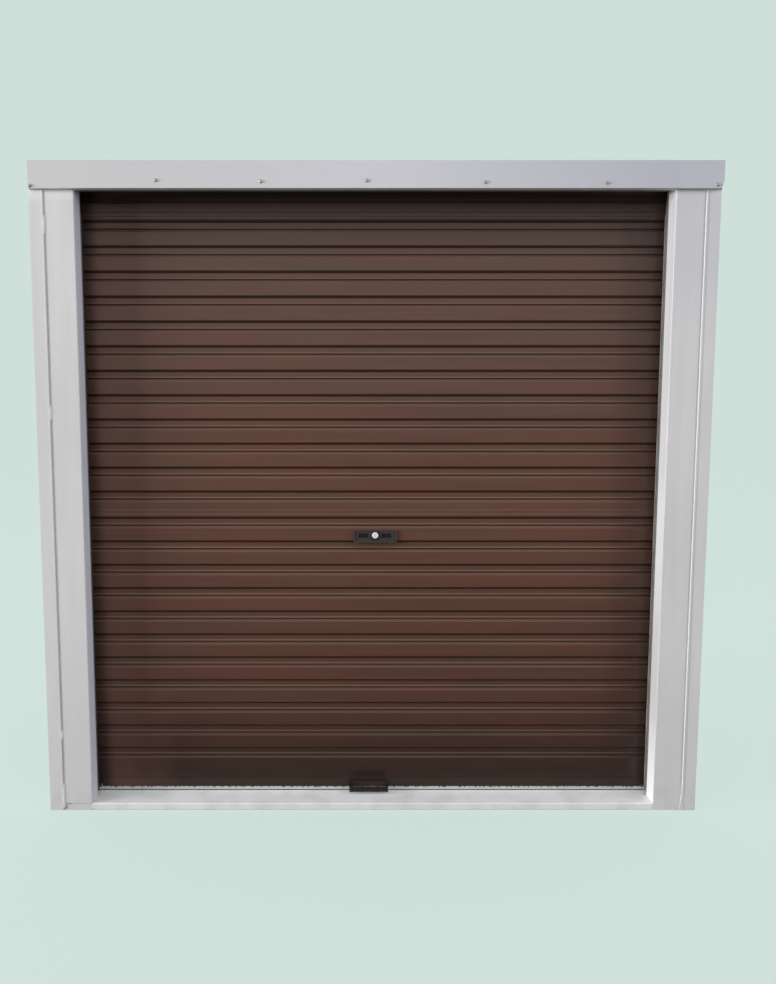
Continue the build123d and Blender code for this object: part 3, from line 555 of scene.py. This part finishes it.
def galvanised_zinc(finishes):
    """Galvanised steel with its crystal spangle, and painted shade near the opening."""
    colour = finishes.zinc_colour
    material, tree, shader = new_material("galvanised_zinc", {"Metallic": 0.35})
    crystals = add_node(tree, "ShaderNodeTexVoronoi", {"Vector": place(tree), "Scale": 90.0})
    split = add_node(tree, "ShaderNodeSeparateColor", {"Color": crystals.outputs["Color"]})
    grey = split.outputs["Red"]
    tone = mix_colour(tree, grey, shade(colour, 0.82), shade(colour, 1.12))
    bloom = noise(tree, place(tree, (1, 1, 0.5)), 14.0, 5.0)
    tone = mix_colour(tree, remap(tree, bloom, 0.55, 0.8, 0, 0.4), tone, srgb(206, 208, 208))
    sideways = maths(tree, "ABSOLUTE", across_door(tree), 0)
    # painted shade: the zinc by the opening darkened, less so further back
    opening_painted_shade = both(
        tree,
        remap(tree, sideways, 1.02, 1.03, 0.5, 0),
        remap(tree, into_building(tree), 0.02, 0.04, 1, 0.7),
    )
    tone = mix_colour(tree, opening_painted_shade, tone, srgb(112, 108, 105))
    roughness = remap(tree, grey, 0, 1, 0.38, 0.58)
    link(tree, shader, tone, roughness, surface(tree, bloom, 0.0003, 0.5 * MM, 0.3))
    return material


def plated_steel(finishes):
    """Bright zinc plate with a faint warm tint and fine rolling marks."""
    material, tree, shader = new_material("plated_steel", {"Metallic": 1.0})
    tint = noise(tree, place(tree), 22.0, 4.0)
    cool, warm = srgb(180, 182, 184), srgb(196, 188, 166)
    tone = mix_colour(tree, remap(tree, tint, 0.35, 0.65), cool, warm)
    marks = noise(tree, place(tree, (2, 60, 60)), 30.0, 2.0)
    roughness = remap(tree, marks, 0.3, 0.7, 0.25, 0.45)
    link(tree, shader, tone, roughness, surface(tree, marks, 0.0001, 0.4 * MM, 0.3))
    return material


def oiled_spring_steel(finishes):
    """Dark oiled spring wire."""
    material, tree, shader = new_material("oiled_spring_steel", {"Metallic": 0.9})
    mottle = noise(tree, place(tree), 60.0, 4.0)
    tone = mix_colour(tree, remap(tree, mottle, 0.4, 0.7), srgb(44, 44, 47), srgb(84, 74, 66))
    roughness = remap(tree, mottle, 0.3, 0.7, 0.28, 0.5)
    link(tree, shader, tone, roughness, surface(tree, mottle, 0.0002, 0, 0.3))
    return material


def milled_aluminium(finishes):
    """Extruded aluminium with die lines along its length and a dirty upper edge."""
    colour = finishes.aluminium_colour
    material, tree, shader = new_material("milled_aluminium", {"Metallic": 0.5})
    lines = noise(tree, place(tree, (1.5, 700, 700)), 1.0, 2.0)
    tone = mix_colour(tree, remap(tree, lines, 0.35, 0.65), shade(colour, 0.88), colour)
    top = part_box("seal_carrier")[1].z
    edge = remap(tree, height_above_floor(tree), top - 4.5 * MM, top - 2.5 * MM)
    dashes = remap(tree, noise(tree, place(tree, (70, 1, 1)), 1.0, 2.0, 0.7), 0.5, 0.56, 0, 0.8)
    tone = mix_colour(tree, both(tree, edge, dashes), tone, srgb(58, 44, 40))
    roughness = remap(tree, lines, 0.3, 0.7, 0.35, 0.5)
    link(tree, shader, tone, roughness, surface(tree, lines, 0.0001, 0.5 * MM, 0.3))
    return material


def pale_nylon(finishes):
    """Off-white nylon, a little scuffed, with the left liner painted nearly black as its shade."""
    colour = finishes.nylon_colour
    material, tree, shader = new_material("pale_nylon", {"Subsurface Weight": 0.05})
    scuffs = noise(tree, place(tree, (4, 4, 0.5)), 24.0, 5.0, 0.65)
    tone = mix_colour(tree, remap(tree, scuffs, 0.45, 0.7, 0, 0.75), colour, srgb(112, 106, 100))
    across = across_door(tree)
    streaks = noise(tree, place(tree, (30, 30, 9)), 1.0, 4.0, 0.65)
    rubbed = both(
        tree,
        remap(tree, across, OPENING_EDGE - 5 * MM, OPENING_EDGE),
        remap(tree, streaks, 0.3, 0.6, 1, 0.6),
    )
    tone = mix_colour(tree, rubbed, tone, srgb(112, 104, 98))
    # painted shade: the left liner, which lies in the jamb's shade, painted nearly black
    left_liner_painted_shade = remap(tree, across, 5 * MM - OPENING_EDGE, 15 * MM - OPENING_EDGE, 0.96, 0)
    tone = mix_colour(tree, left_liner_painted_shade, tone, srgb(26, 24, 23))
    roughness = remap(tree, scuffs, 0.3, 0.7, 0.42, 0.6)
    link(tree, shader, tone, roughness, surface(tree, scuffs, 0.0002, 0.5 * MM, 0.3))
    return material


def lock_plate_marks(tree, tone, depth):
    """The lock plate's lighter front face, painted shade in its recessed grips, and the dark ring
    round its key barrel.
    """
    plate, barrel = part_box("lock_plate"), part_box("lock_barrel")
    back = plate[1].y
    on_plate = band(tree, depth, (plate[0].y + back) / 2, 5 * MM, 0.5 * MM)
    # painted shade: the recessed grips darkened
    grips_painted_shade = remap(tree, depth, back - 4.8 * MM, back - 4.4 * MM, 0, 0.8)
    # the front face made a little lighter
    front_face_lighter = remap(tree, depth, back - 6.5 * MM, back - 6 * MM, 0.4, 0)
    centre = (barrel[0] + barrel[1]) / 2
    centre.y = plate[0].y
    from_centre = {0: place(tree, location=-centre)}
    away = add_node(tree, "ShaderNodeVectorMath", from_centre, operation="LENGTH").outputs["Value"]
    rim = (barrel[1].x - barrel[0].x) / 2
    ring = remap(tree, away, rim + 2.5 * MM, rim + 4.5 * MM, 1, 0)
    tone = mix_colour(tree, both(tree, on_plate, front_face_lighter), tone, srgb(84, 79, 78))
    tone = mix_colour(tree, both(tree, on_plate, grips_painted_shade), tone, srgb(24, 18, 17))
    return mix_colour(tree, both(tree, on_plate, ring), tone, srgb(14, 9, 8))


def moulded_plastic(finishes):
    """Black moulded plastic with a fine grain and dust in places, painted shade on the handle's
    base and in its recesses.
    """
    colour = finishes.plastic_colour
    material, tree, shader = new_material("moulded_plastic", {"Specular IOR Level": 0.22})
    dust = noise(tree, place(tree), 70.0, 5.0, 0.6)
    tone = mix_colour(tree, remap(tree, dust, 0.5, 0.8, 0, 0.25), colour, srgb(72, 68, 65))
    on_handle = remap(tree, height_above_floor(tree), 0.1, 0.3, 1, 0)
    tone = mix_colour(tree, on_handle, tone, srgb(32, 30, 29))
    depth = into_building(tree)
    # painted shade: the handle's base between its cheeks painted dark reddish brown, like the
    # shaded curtain behind it
    handle_base_painted_shade = both(tree, on_handle, remap(tree, depth, 29 * MM, 29.5 * MM))
    tone = mix_colour(tree, handle_base_painted_shade, tone, srgb(60, 43, 38))
    tone = lock_plate_marks(tree, tone, depth)
    # painted shade: recesses darkened
    tone = mix_colour(tree, hollows(tree, 4 * MM, 0.3, 0.8), tone, srgb(20, 17, 16))
    grain = noise(tree, place(tree), 1600.0, 2.0)
    roughness = remap(tree, dust, 0.3, 0.7, 0.36, 0.52)
    link(tree, shader, tone, roughness, surface(tree, grain, 0.0001, 0.7 * MM, 0.5))
    return material


def sealing_rubber(finishes):
    """Black rubber, dusty where it meets the sill."""
    colour = finishes.rubber_colour
    material, tree, shader = new_material("sealing_rubber", {"Specular IOR Level": 0.2})
    dust = noise(tree, place(tree, (30, 30, 60)), 4.0, 4.0)
    tone = mix_colour(tree, remap(tree, dust, 0.5, 0.8, 0, 0.35), colour, srgb(80, 76, 72))
    roughness = remap(tree, dust, 0.3, 0.7, 0.7, 0.85)
    link(tree, shader, tone, roughness, surface(tree, dust, 0.0004, 0, 0.4))
    return material


def barrel_chrome(finishes):
    """Chromed key barrel, finely scratched round its slot."""
    material, tree, shader = new_material("barrel_chrome", {"Metallic": 0.15})
    wear = noise(tree, place(tree), 400.0, 4.0)
    bright, dull = srgb(252, 249, 247), srgb(206, 198, 192)
    tone = mix_colour(tree, remap(tree, wear, 0.45, 0.75, 0, 0.7), bright, dull)
    roughness = remap(tree, wear, 0.3, 0.7, 0.22, 0.42)
    link(tree, shader, tone, roughness, surface(tree, wear, 0.0001, 0.4 * MM, 0.3))
    return material


FINISHES = {
    "white_paint": white_powder_coat,
    "brown_coat": brown_coil_coat,
    "galvanised": galvanised_zinc,
    "zinc_plate": plated_steel,
    "spring_steel": oiled_spring_steel,
    "aluminium": milled_aluminium,
    "nylon": pale_nylon,
    "black_plastic": moulded_plastic,
    "black_rubber": sealing_rubber,
    "chrome": barrel_chrome,
}


def finish(maker):
    """The material that a finish makes, made once."""
    return bpy.data.materials.get(maker.__name__) or maker(bpy.context.scene.door_finishes)


def add_piece(name, slot, build, *details, maker=None):
    """Makes a piece in mesh code, gives it a finish and lets it ride on the frame."""
    shape = bmesh.new()
    build(shape, *details)
    bmesh.ops.recalc_face_normals(shape, faces=shape.faces)
    mesh = bpy.data.meshes.new(name)
    shape.to_mesh(mesh)
    shape.free()
    mesh.materials.append(finish(maker or FINISHES[slot]))
    piece = bpy.data.objects.new(name, mesh)
    bpy.context.scene.collection.objects.link(piece)
    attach(piece, "frame")
    return piece


def skin(shape, rings, smooth=True):
    """Joins closed rings of vertices into a solid with flat ends."""
    count = len(rings[0])
    for lower, upper in zip(rings, rings[1:]):
        for side in range(count):
            after = (side + 1) % count
            face = shape.faces.new((lower[side], lower[after], upper[after], upper[side]))
            face.smooth = smooth
    shape.faces.new(rings[0])
    shape.faces.new(rings[-1])


def turned(shape, where, direction, profile, sides=24):
    """A solid turned from (radius, height) points that stands on a place along a direction."""
    stand = Vector(direction).to_track_quat("Z", "Y").to_matrix().to_4x4()
    matrix = Matrix.Translation(where) @ stand
    rings = []
    for radius, height in profile:
        angles = [math.tau * side / sides for side in range(sides)]
        points = [Vector((radius * math.cos(a), radius * math.sin(a), height)) for a in angles]
        rings.append([shape.verts.new(matrix @ point) for point in points])
    skin(shape, rings, smooth=sides > HEXAGON)


def washer_screw(shape, where, direction, washer, across, height):
    """A hexagon head on its washer."""
    washer_share = 0.28  # of the height
    rim_height, rim_width = 0.5, 0.82  # shares of the washer's thickness and of its width
    bevel_start, bevel_width = 0.86, 0.84  # shares of the height and of the width
    thick = height * washer_share
    rim = washer / 2
    disc = [(rim, 0), (rim, thick * rim_height), (rim * rim_width, thick)]
    turned(shape, where, direction, disc)
    corner = across / math.sqrt(3)
    hexagon = [(corner, thick), (corner, height * bevel_start), (corner * bevel_width, height)]
    turned(shape, where, direction, hexagon, sides=HEXAGON)


def domed_head(shape, where, direction, diameter):
    """The domed head of a rivet or a pan screw."""
    dome, steps = 0.45, 5  # its rise against its radius, and its rings
    radius = diameter / 2
    rise = radius * dome
    angles = [math.pi / 2 * step / steps for step in range(steps)]
    profile = [(radius * math.cos(angle), rise * math.sin(angle)) for angle in angles]
    turned(shape, where, direction, profile, sides=16)


class DOOR_OT_finishes(bpy.types.Operator):
    """Gives every piece of the door its finish"""

    bl_idname = "door.finishes"
    bl_label = "Finishes"

    def execute(self, context):
        for part in frame["record"]["subparts"]:
            for holder in frame["nodes"][part["node"]].material_slots:
                holder.material = finish(FINISHES[part["material_slot"]])
        return {"FINISHED"}


class DOOR_OT_header_screws(bpy.types.Operator):
    """Adds the screws along the header's face"""

    bl_idname = "door.header_screws"
    bl_label = "Header screws"

    # Across the header from the middle, and above the floor
    places = (
        (-1.125, 2.134),
        (-0.715, 2.151),
        (-0.372, 2.147),
        (-0.026, 2.150),
        (0.361, 2.145),
        (0.757, 2.143),
        (1.118, 2.137),
    )

    def execute(self, context):
        add_piece("header_screws", "zinc_plate", self.screws, context.scene.door_fasteners)
        return {"FINISHED"}

    def screws(self, shape, sizes):
        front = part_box("header_flashing")[0].y
        for across, height in self.places:
            where = (across, front, height)
            washer_screw(
                shape, where, (0, -1, 0), sizes.screw_washer, sizes.screw_head, sizes.screw_height
            )


class DOOR_OT_sealant(bpy.types.Operator):
    """Smooths sealant into the frame's seams"""

    bl_idname = "door.sealant"
    bl_label = "Sealant"

    # Stretches of the left seam that are filled, above the floor
    left_stretches = ((0.004, 0.098), (0.254, 0.290), (1.367, 1.424), (1.980, 2.044))
    # Bends of the right bead: right of the seam, and up to the strip's top
    right_bends = ((-5.5 * MM, 1 * MM), (-5.5 * MM, 16 * MM), (1 * MM, 66 * MM), (1 * MM, 3.0))
    step = 8 * MM
    sides = 10
    taper_steps = 3  # over which an end thins out
    end_swell = 0.06  # what is left at the very end
    ripple, ripple_turn = 0.1, 1.7  # a share of the width, and its turn at each step
    rise = 1.8 * MM
    left_shift = 1.5 * MM  # of the left bead over the jamb's side of its seam
    right_flatness = 0.8  # rise against width
    end_gap = 2 * MM  # under the right strip's top
    foot_width, foot_rise, foot_inset = 9 * MM, 0.8 * MM, 1 * MM

    def execute(self, context):
        self.sizes = context.scene.door_fasteners
        add_piece("left_seam_sealant", "white_paint", self.left_seam, maker=brushed_sealant)
        add_piece("right_seam_sealant", "white_paint", self.right_seam, maker=brushed_sealant)
        add_piece("foot_sealant", "white_paint", self.foot_joint, maker=brushed_sealant)
        return {"FINISHED"}

    def bead(self, shape, start, end, lean, width, height):
        """A lens-shaped bead from start to end that thins out at both ends."""
        start, end = Vector(start), Vector(end)
        length = (end - start).length
        steps = max(6, round(length / self.step))
        along = (end - start) / length
        flat = Vector((math.cos(lean), math.sin(lean), 0))
        outward = along.cross(flat)
        rings = []
        for spot in range(steps + 1):
            reach = min(spot, steps - spot) / self.taper_steps
            swell = math.sqrt(min(1.0, self.end_swell + reach))
            swell *= 1 + self.ripple * math.sin(spot * self.ripple_turn)
            middle = start + along * (length * spot / steps)
            ring = []
            for side in range(self.sides):
                turn = math.tau * side / self.sides
                offset = flat * (width / 2 * swell * math.cos(turn))
                offset += outward * (height / 2 * swell * math.sin(turn))
                ring.append(shape.verts.new(middle + offset))
            rings.append(ring)
        skin(shape, rings)

    def left_seam(self, shape):
        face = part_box("left_jamb")[0].y
        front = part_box("left_corner_strip")[0].y
        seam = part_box("left_corner_strip")[1].x
        middle = (seam + self.left_shift, (face + front) / 2)
        lean = math.atan2(face - front, self.sizes.left_bead)
        for low, high in self.left_stretches:
            ends = ((*middle, low), (*middle, high))
            self.bead(shape, *ends, lean, self.sizes.left_bead, self.rise)

    def right_seam(self, shape):
        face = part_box("right_jamb")[0].y
        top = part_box("right_corner_strip")[1].z
        seam = -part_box("left_corner_strip")[1].x
        width = self.sizes.right_bead
        front = face - self.rise
        for (shift, low), (next_shift, high) in zip(self.right_bends, self.right_bends[1:]):
            start = (seam + shift, front, low)
            end = (seam + next_shift, front, min(high, top - self.end_gap))
            self.bead(shape, start, end, 0, width, width * self.right_flatness)

    def foot_joint(self, shape):
        """The joint between the left jamb and the sill's face."""
        low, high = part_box("sill")
        start = (low.x, low.y, self.foot_inset)
        end = (low.x, low.y, high.z - self.foot_inset)
        self.bead(shape, start, end, 0, self.foot_width, self.foot_rise)


class DOOR_OT_corner_seals(bpy.types.Operator):
    """Fills the gap between each end of the sill and the post beside it"""

    bl_idname = "door.corner_seals"
    bl_label = "Corner seals"

    rounding = 3 * MM
    arc_steps = 4

    def execute(self, context):
        for side, name in ((-1, "left"), (1, "right")):
            add_piece(name + "_corner_seal", "white_paint", self.seal, side, maker=brushed_sealant)
        return {"FINISHED"}

    def seal(self, shape, side):
        """A block of sealant with rounded upper edges, pressed in behind the jamb."""
        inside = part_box("sill")[1].x
        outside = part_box("right_post")[0].x
        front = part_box("right_jamb")[1].y
        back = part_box("right_guide")[1].y
        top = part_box("sill")[1].z
        outline = [(front, 0.0)]
        arcs = ((front + self.rounding, math.pi), (back - self.rounding, math.pi / 2))
        for middle, start in arcs:
            for step in range(self.arc_steps + 1):
                turn = start - math.pi / 2 * step / self.arc_steps
                along = middle + self.rounding * math.cos(turn)
                outline.append((along, top - self.rounding + self.rounding * math.sin(turn)))
        outline.append((back, 0.0))
        rings = [[shape.verts.new((side * x, y, z)) for y, z in outline] for x in (inside, outside)]
        skin(shape, rings, smooth=False)


class DOOR_OT_lead_ins(bpy.types.Operator):
    """Adds the flared plate that leads the curtain into the top of each guide"""

    bl_idname = "door.lead_ins"
    bl_label = "Lead-ins"

    inside = 1.5 * MM  # from the liner's edge into the guide
    width = 36 * MM
    thickness = 2.5 * MM
    start = 0.5 * MM  # from the guide's front into the building
    # The plate's bend: forward of its start, and above the guide
    bends = (
        (0, 0),
        (0, 14 * MM),
        (0.6 * MM, 24 * MM),
        (2.2 * MM, 34 * MM),
        (5 * MM, 43 * MM),
        (8 * MM, 49 * MM),
    )

    def execute(self, context):
        for side, name in ((-1, "left"), (1, "right")):
            add_piece(name + "_lead_in", "nylon", self.plate, side)
        return {"FINISHED"}

    def plate(self, shape, side):
        """A plate that stands on the guide and bends away from the curtain."""
        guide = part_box("right_guide")
        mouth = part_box("right_guide_liner")[0].x + self.inside
        end = mouth + self.width
        front = guide[0].y + self.start
        rings = []
        for forward, above in self.bends:
            near, far = front - forward, front - forward + self.thickness
            corners = ((mouth, near), (end, near), (end, far), (mouth, far))
            rings.append([shape.verts.new((side * x, y, guide[1].z + above)) for x, y in corners])
        skin(shape, rings, smooth=False)


class DOOR_OT_bracket_bolts(bpy.types.Operator):
    """Adds the bolts that hold the brackets and the axle's clamps"""

    bl_idname = "door.bracket_bolts"
    bl_label = "Bracket bolts"

    foot_thickness = 4 * MM
    clamp_thickness = 3 * MM
    clamp_edge = 8 * MM
    plate_clearance = 14 * MM
    foot_rows = (0.16, 0.88)  # shares of the bracket's height
    clamp_washer = 1.3  # against the bolt's head

    def execute(self, context):
        for side in ("left", "right"):
            sizes = context.scene.door_fasteners
            add_piece(side + "_bracket_bolts", "zinc_plate", self.bolts, side, sizes)
        return {"FINISHED"}

    def bolts(self, shape, side, sizes):
        low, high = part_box(side + "_bracket")
        middle = (low.x + high.x) / 2
        for share in self.foot_rows:
            for offset in (-self.plate_clearance, self.plate_clearance):
                height = low.z + (high.z - low.z) * share
                where = (middle + offset, low.y + self.foot_thickness, height)
                washer_screw(
                    shape, where, (0, 1, 0), sizes.bolt_washer, sizes.bolt_head, sizes.bolt_height
                )
        low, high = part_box(side + "_axle_clamp")
        for depth in (low.y + self.clamp_edge, high.y - self.clamp_edge):
            where = (middle, depth, low.z + self.clamp_thickness)
            washer = sizes.bolt_head * self.clamp_washer
            washer_screw(shape, where, (0, 0, 1), washer, sizes.bolt_head, sizes.bolt_height)


class DOOR_OT_lock_fasteners(bpy.types.Operator):
    """Adds the rivets of the bolt straps and the screws of the lock case"""

    bl_idname = "door.lock_fasteners"
    bl_label = "Lock fasteners"

    foot_middle = 4.5 * MM
    case_inset = 10 * MM

    def execute(self, context):
        sizes = context.scene.door_fasteners
        for side in ("left", "right"):
            add_piece(side + "_strap_rivets", "zinc_plate", self.strap_rivets, side, sizes)
        add_piece("case_screws", "zinc_plate", self.case_screws, sizes)
        return {"FINISHED"}

    def strap_rivets(self, shape, side, sizes):
        low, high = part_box(side + "_bolt_strap")
        for height in (low.z + self.foot_middle, high.z - self.foot_middle):
            where = ((low.x + high.x) / 2, high.y, height)
            domed_head(shape, where, (0, 1, 0), sizes.rivet_head)

    def case_screws(self, shape, sizes):
        low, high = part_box("lock_case")
        for across in (low.x + self.case_inset, high.x - self.case_inset):
            for height in (low.z + self.case_inset * 2, high.z - self.case_inset * 2):
                domed_head(shape, (across, high.y, height), (0, 1, 0), sizes.rivet_head)


class DOOR_OT_springs(bpy.types.Operator):
    """Winds the counterbalance springs round the axle"""

    bl_idname = "door.springs"
    bl_label = "Springs"

    wire_sides = 8
    steps_per_turn = 20
    pitch_in_wires = 1.12

    def execute(self, context):
        wire = context.scene.door_fasteners.spring_wire
        for side in ("left", "right"):
            node = side + "_spring"
            coil = add_piece(node + "_coil", "spring_steel", self.coil, node, wire)
            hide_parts(node)
        return {"FINISHED"}

    def coil(self, shape, node, wire):
        """A round wire that follows a helix from one end of the spring to the other."""
        low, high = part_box(node)
        centre = (low + high) / 2
        reach = (high.z - low.z) / 2 - wire / 2
        length = high.x - low.x - wire
        steps = int(length / (wire * self.pitch_in_wires)) * self.steps_per_turn
        rings = []
        for step in range(steps + 1):
            angle = math.tau * step / self.steps_per_turn
            along = low.x + wire / 2 + length * step / steps
            ring = []
            for side in range(self.wire_sides):
                turn = math.tau * side / self.wire_sides
                radius = reach + wire / 2 * math.cos(turn)
                across = along + wire / 2 * math.sin(turn)
                outward = (centre.y + radius * math.cos(angle), centre.z + radius * math.sin(angle))
                ring.append(shape.verts.new((across, *outward)))
            rings.append(ring)
        skin(shape, rings)


class DOOR_OT_stage(bpy.types.Operator):
    """Lays the floor, hangs the lights and sets the camera"""

    bl_idname = "door.stage"
    bl_label = "Stage"

    floor_reach = 60.0
    floor_glow = 0.88  # share of the floor's look that is the backdrop's own colour
    floor_gain = 1.2  # makes up for the sky's light on the rest of it
    key_place, key_size = (-12.8, -4.6, 2.8), 5.0
    fill_place, fill_size = (9.0, -4.2, 3.6), 4.0
    target = (0, 0, 1.1)  # the door's middle, which both lamps face
    sky_tint = (0.96, 0.97, 1, 1)

    def execute(self, context):
        stage = context.scene.door_stage
        self.floor(context, stage)
        self.world(context, stage)
        self.panel("key_panel", self.key_place, self.key_size, stage.key_power)
        self.panel("fill_panel", self.fill_place, self.fill_size, stage.fill_power)
        self.camera(context, stage)
        context.scene.view_settings.view_transform = "Standard"
        return {"FINISHED"}

    def floor(self, context, stage):
        """A pale floor that looks like the backdrop and still takes the door's shadow."""
        shape = bmesh.new()
        bmesh.ops.create_grid(shape, x_segments=1, y_segments=1, size=self.floor_reach)
        mesh = bpy.data.meshes.new("floor")
        shape.to_mesh(mesh)
        shape.free()
        floor = bpy.data.objects.new("floor", mesh)
        context.scene.collection.objects.link(floor)
        material = bpy.data.materials.new("pale_floor")
        material.use_nodes = True
        tree = material.node_tree
        tree.nodes.clear()
        pale = (*stage.backdrop_colour, 1)
        bright = (*shade(stage.backdrop_colour, self.floor_gain), 1)
        seen = add_node(tree, "ShaderNodeMixShader", {"Fac": self.floor_glow})
        matt = add_node(tree, "ShaderNodeBsdfDiffuse", {"Color": bright})
        tree.links.new(matt.outputs[0], seen.inputs[1])
        glow = add_node(tree, "ShaderNodeEmission", {"Color": pale})
        tree.links.new(glow.outputs[0], seen.inputs[2])
        plain = add_node(tree, "ShaderNodeBsdfDiffuse", {"Color": (*stage.ground_colour, 1)})
        path = add_node(tree, "ShaderNodeLightPath")
        either = add_node(tree, "ShaderNodeMixShader", {"Fac": path.outputs["Is Camera Ray"]})
        tree.links.new(plain.outputs[0], either.inputs[1])
        tree.links.new(seen.outputs[0], either.inputs[2])
        output = add_node(tree, "ShaderNodeOutputMaterial")
        tree.links.new(either.outputs[0], output.inputs["Surface"])
        mesh.materials.append(material)

    def world(self, context, stage):
        """An even light, stronger from overhead, behind which eye and mirror see the backdrop."""
        world = bpy.data.worlds.new("pale_studio")
        context.scene.world = world
        world.use_nodes = True
        tree = world.node_tree
        tree.nodes.clear()
        backdrop = add_node(tree, "ShaderNodeBackground", {"Color": (*stage.backdrop_colour, 1)})
        where = add_node(tree, "ShaderNodeTexCoord").outputs["Generated"]
        up = along_axis(tree, where, "Z")
        strength = remap(tree, up, 0.0, 1.0, stage.ground_strength, stage.sky_strength)
        sky = {"Color": self.sky_tint, "Strength": strength}
        fill = add_node(tree, "ShaderNodeBackground", sky)
        path = add_node(tree, "ShaderNodeLightPath")
        seen = maths(tree, "MAXIMUM", path.outputs["Is Camera Ray"], path.outputs["Is Glossy Ray"])
        seen = maths(tree, "MAXIMUM", seen, path.outputs["Is Transmission Ray"])
        mixed = add_node(tree, "ShaderNodeMixShader", {"Fac": seen})
        tree.links.new(fill.outputs[0], mixed.inputs[1])
        tree.links.new(backdrop.outputs[0], mixed.inputs[2])
        output = add_node(tree, "ShaderNodeOutputWorld")
        tree.links.new(mixed.outputs[0], output.inputs["Surface"])

    def panel(self, name, where, size, power):
        """A square lamp that faces the door."""
        lamp = bpy.data.lights.new(name, "AREA")
        lamp.size = size
        lamp.energy = power
        holder = bpy.data.objects.new(name, lamp)
        holder.location = where
        facing = Vector(self.target) - Vector(where)
        holder.rotation_euler = facing.to_track_quat("-Z", "Y").to_euler()
        bpy.context.scene.collection.objects.link(holder)

    def camera(self, context, stage):
        """The photograph's view: its optical axis passes left of the picture's middle."""
        lens = bpy.data.cameras.new("photo_view")
        lens.sensor_width = SENSOR_WIDTH
        lens.lens = stage.focal_length
        lens.shift_x = (PHOTO_WIDTH / 2 - PHOTO_AXIS_COLUMN) / PHOTO_HEIGHT
        camera = bpy.data.objects.new("photo_view", lens)
        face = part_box("right_jamb")[0].y
        camera.location = (stage.camera_across, face - stage.camera_distance, stage.camera_height)
        camera.rotation_euler = (math.pi / 2 - stage.camera_pitch, 0, 0)
        context.scene.collection.objects.link(camera)
        context.scene.camera = camera


class DOOR_PT_panel(bpy.types.Panel):
    """Lists the door's steps and settings in the sidebar"""

    bl_label = "Roller garage door"
    bl_idname = "DOOR_PT_panel"
    bl_space_type = "VIEW_3D"
    bl_region_type = "UI"
    bl_category = "Door"

    def draw(self, context):
        for step in STEPS:
            self.layout.operator(step.bl_idname)
        for name, group in GROUPS.items():
            box = self.layout.box()
            for setting in group.__annotations__:
                box.prop(getattr(context.scene, name), setting)


GROUPS = {"door_finishes": DoorFinishes, "door_fasteners": DoorFasteners, "door_stage": DoorStage}
STEPS = (
    DOOR_OT_finishes,
    DOOR_OT_header_screws,
    DOOR_OT_sealant,
    DOOR_OT_corner_seals,
    DOOR_OT_lead_ins,
    DOOR_OT_bracket_bolts,
    DOOR_OT_lock_fasteners,
    DOOR_OT_springs,
    DOOR_OT_stage,
)
CLASSES = (*GROUPS.values(), *STEPS, DOOR_PT_panel)


def register():
    for kind in CLASSES:
        bpy.utils.register_class(kind)
    for name, kind in GROUPS.items():
        setattr(bpy.types.Scene, name, bpy.props.PointerProperty(type=kind))


def unregister():
    for name in GROUPS:
        delattr(bpy.types.Scene, name)
    for kind in reversed(CLASSES):
        bpy.utils.unregister_class(kind)


def main():
    register()
    bpy.ops.door.finishes()
    bpy.ops.door.header_screws()
    bpy.ops.door.sealant()
    bpy.ops.door.corner_seals()
    bpy.ops.door.lead_ins()
    bpy.ops.door.bracket_bolts()
    bpy.ops.door.lock_fasteners()
    bpy.ops.door.springs()
    bpy.ops.door.stage()


if __name__ == "__main__":
    main()
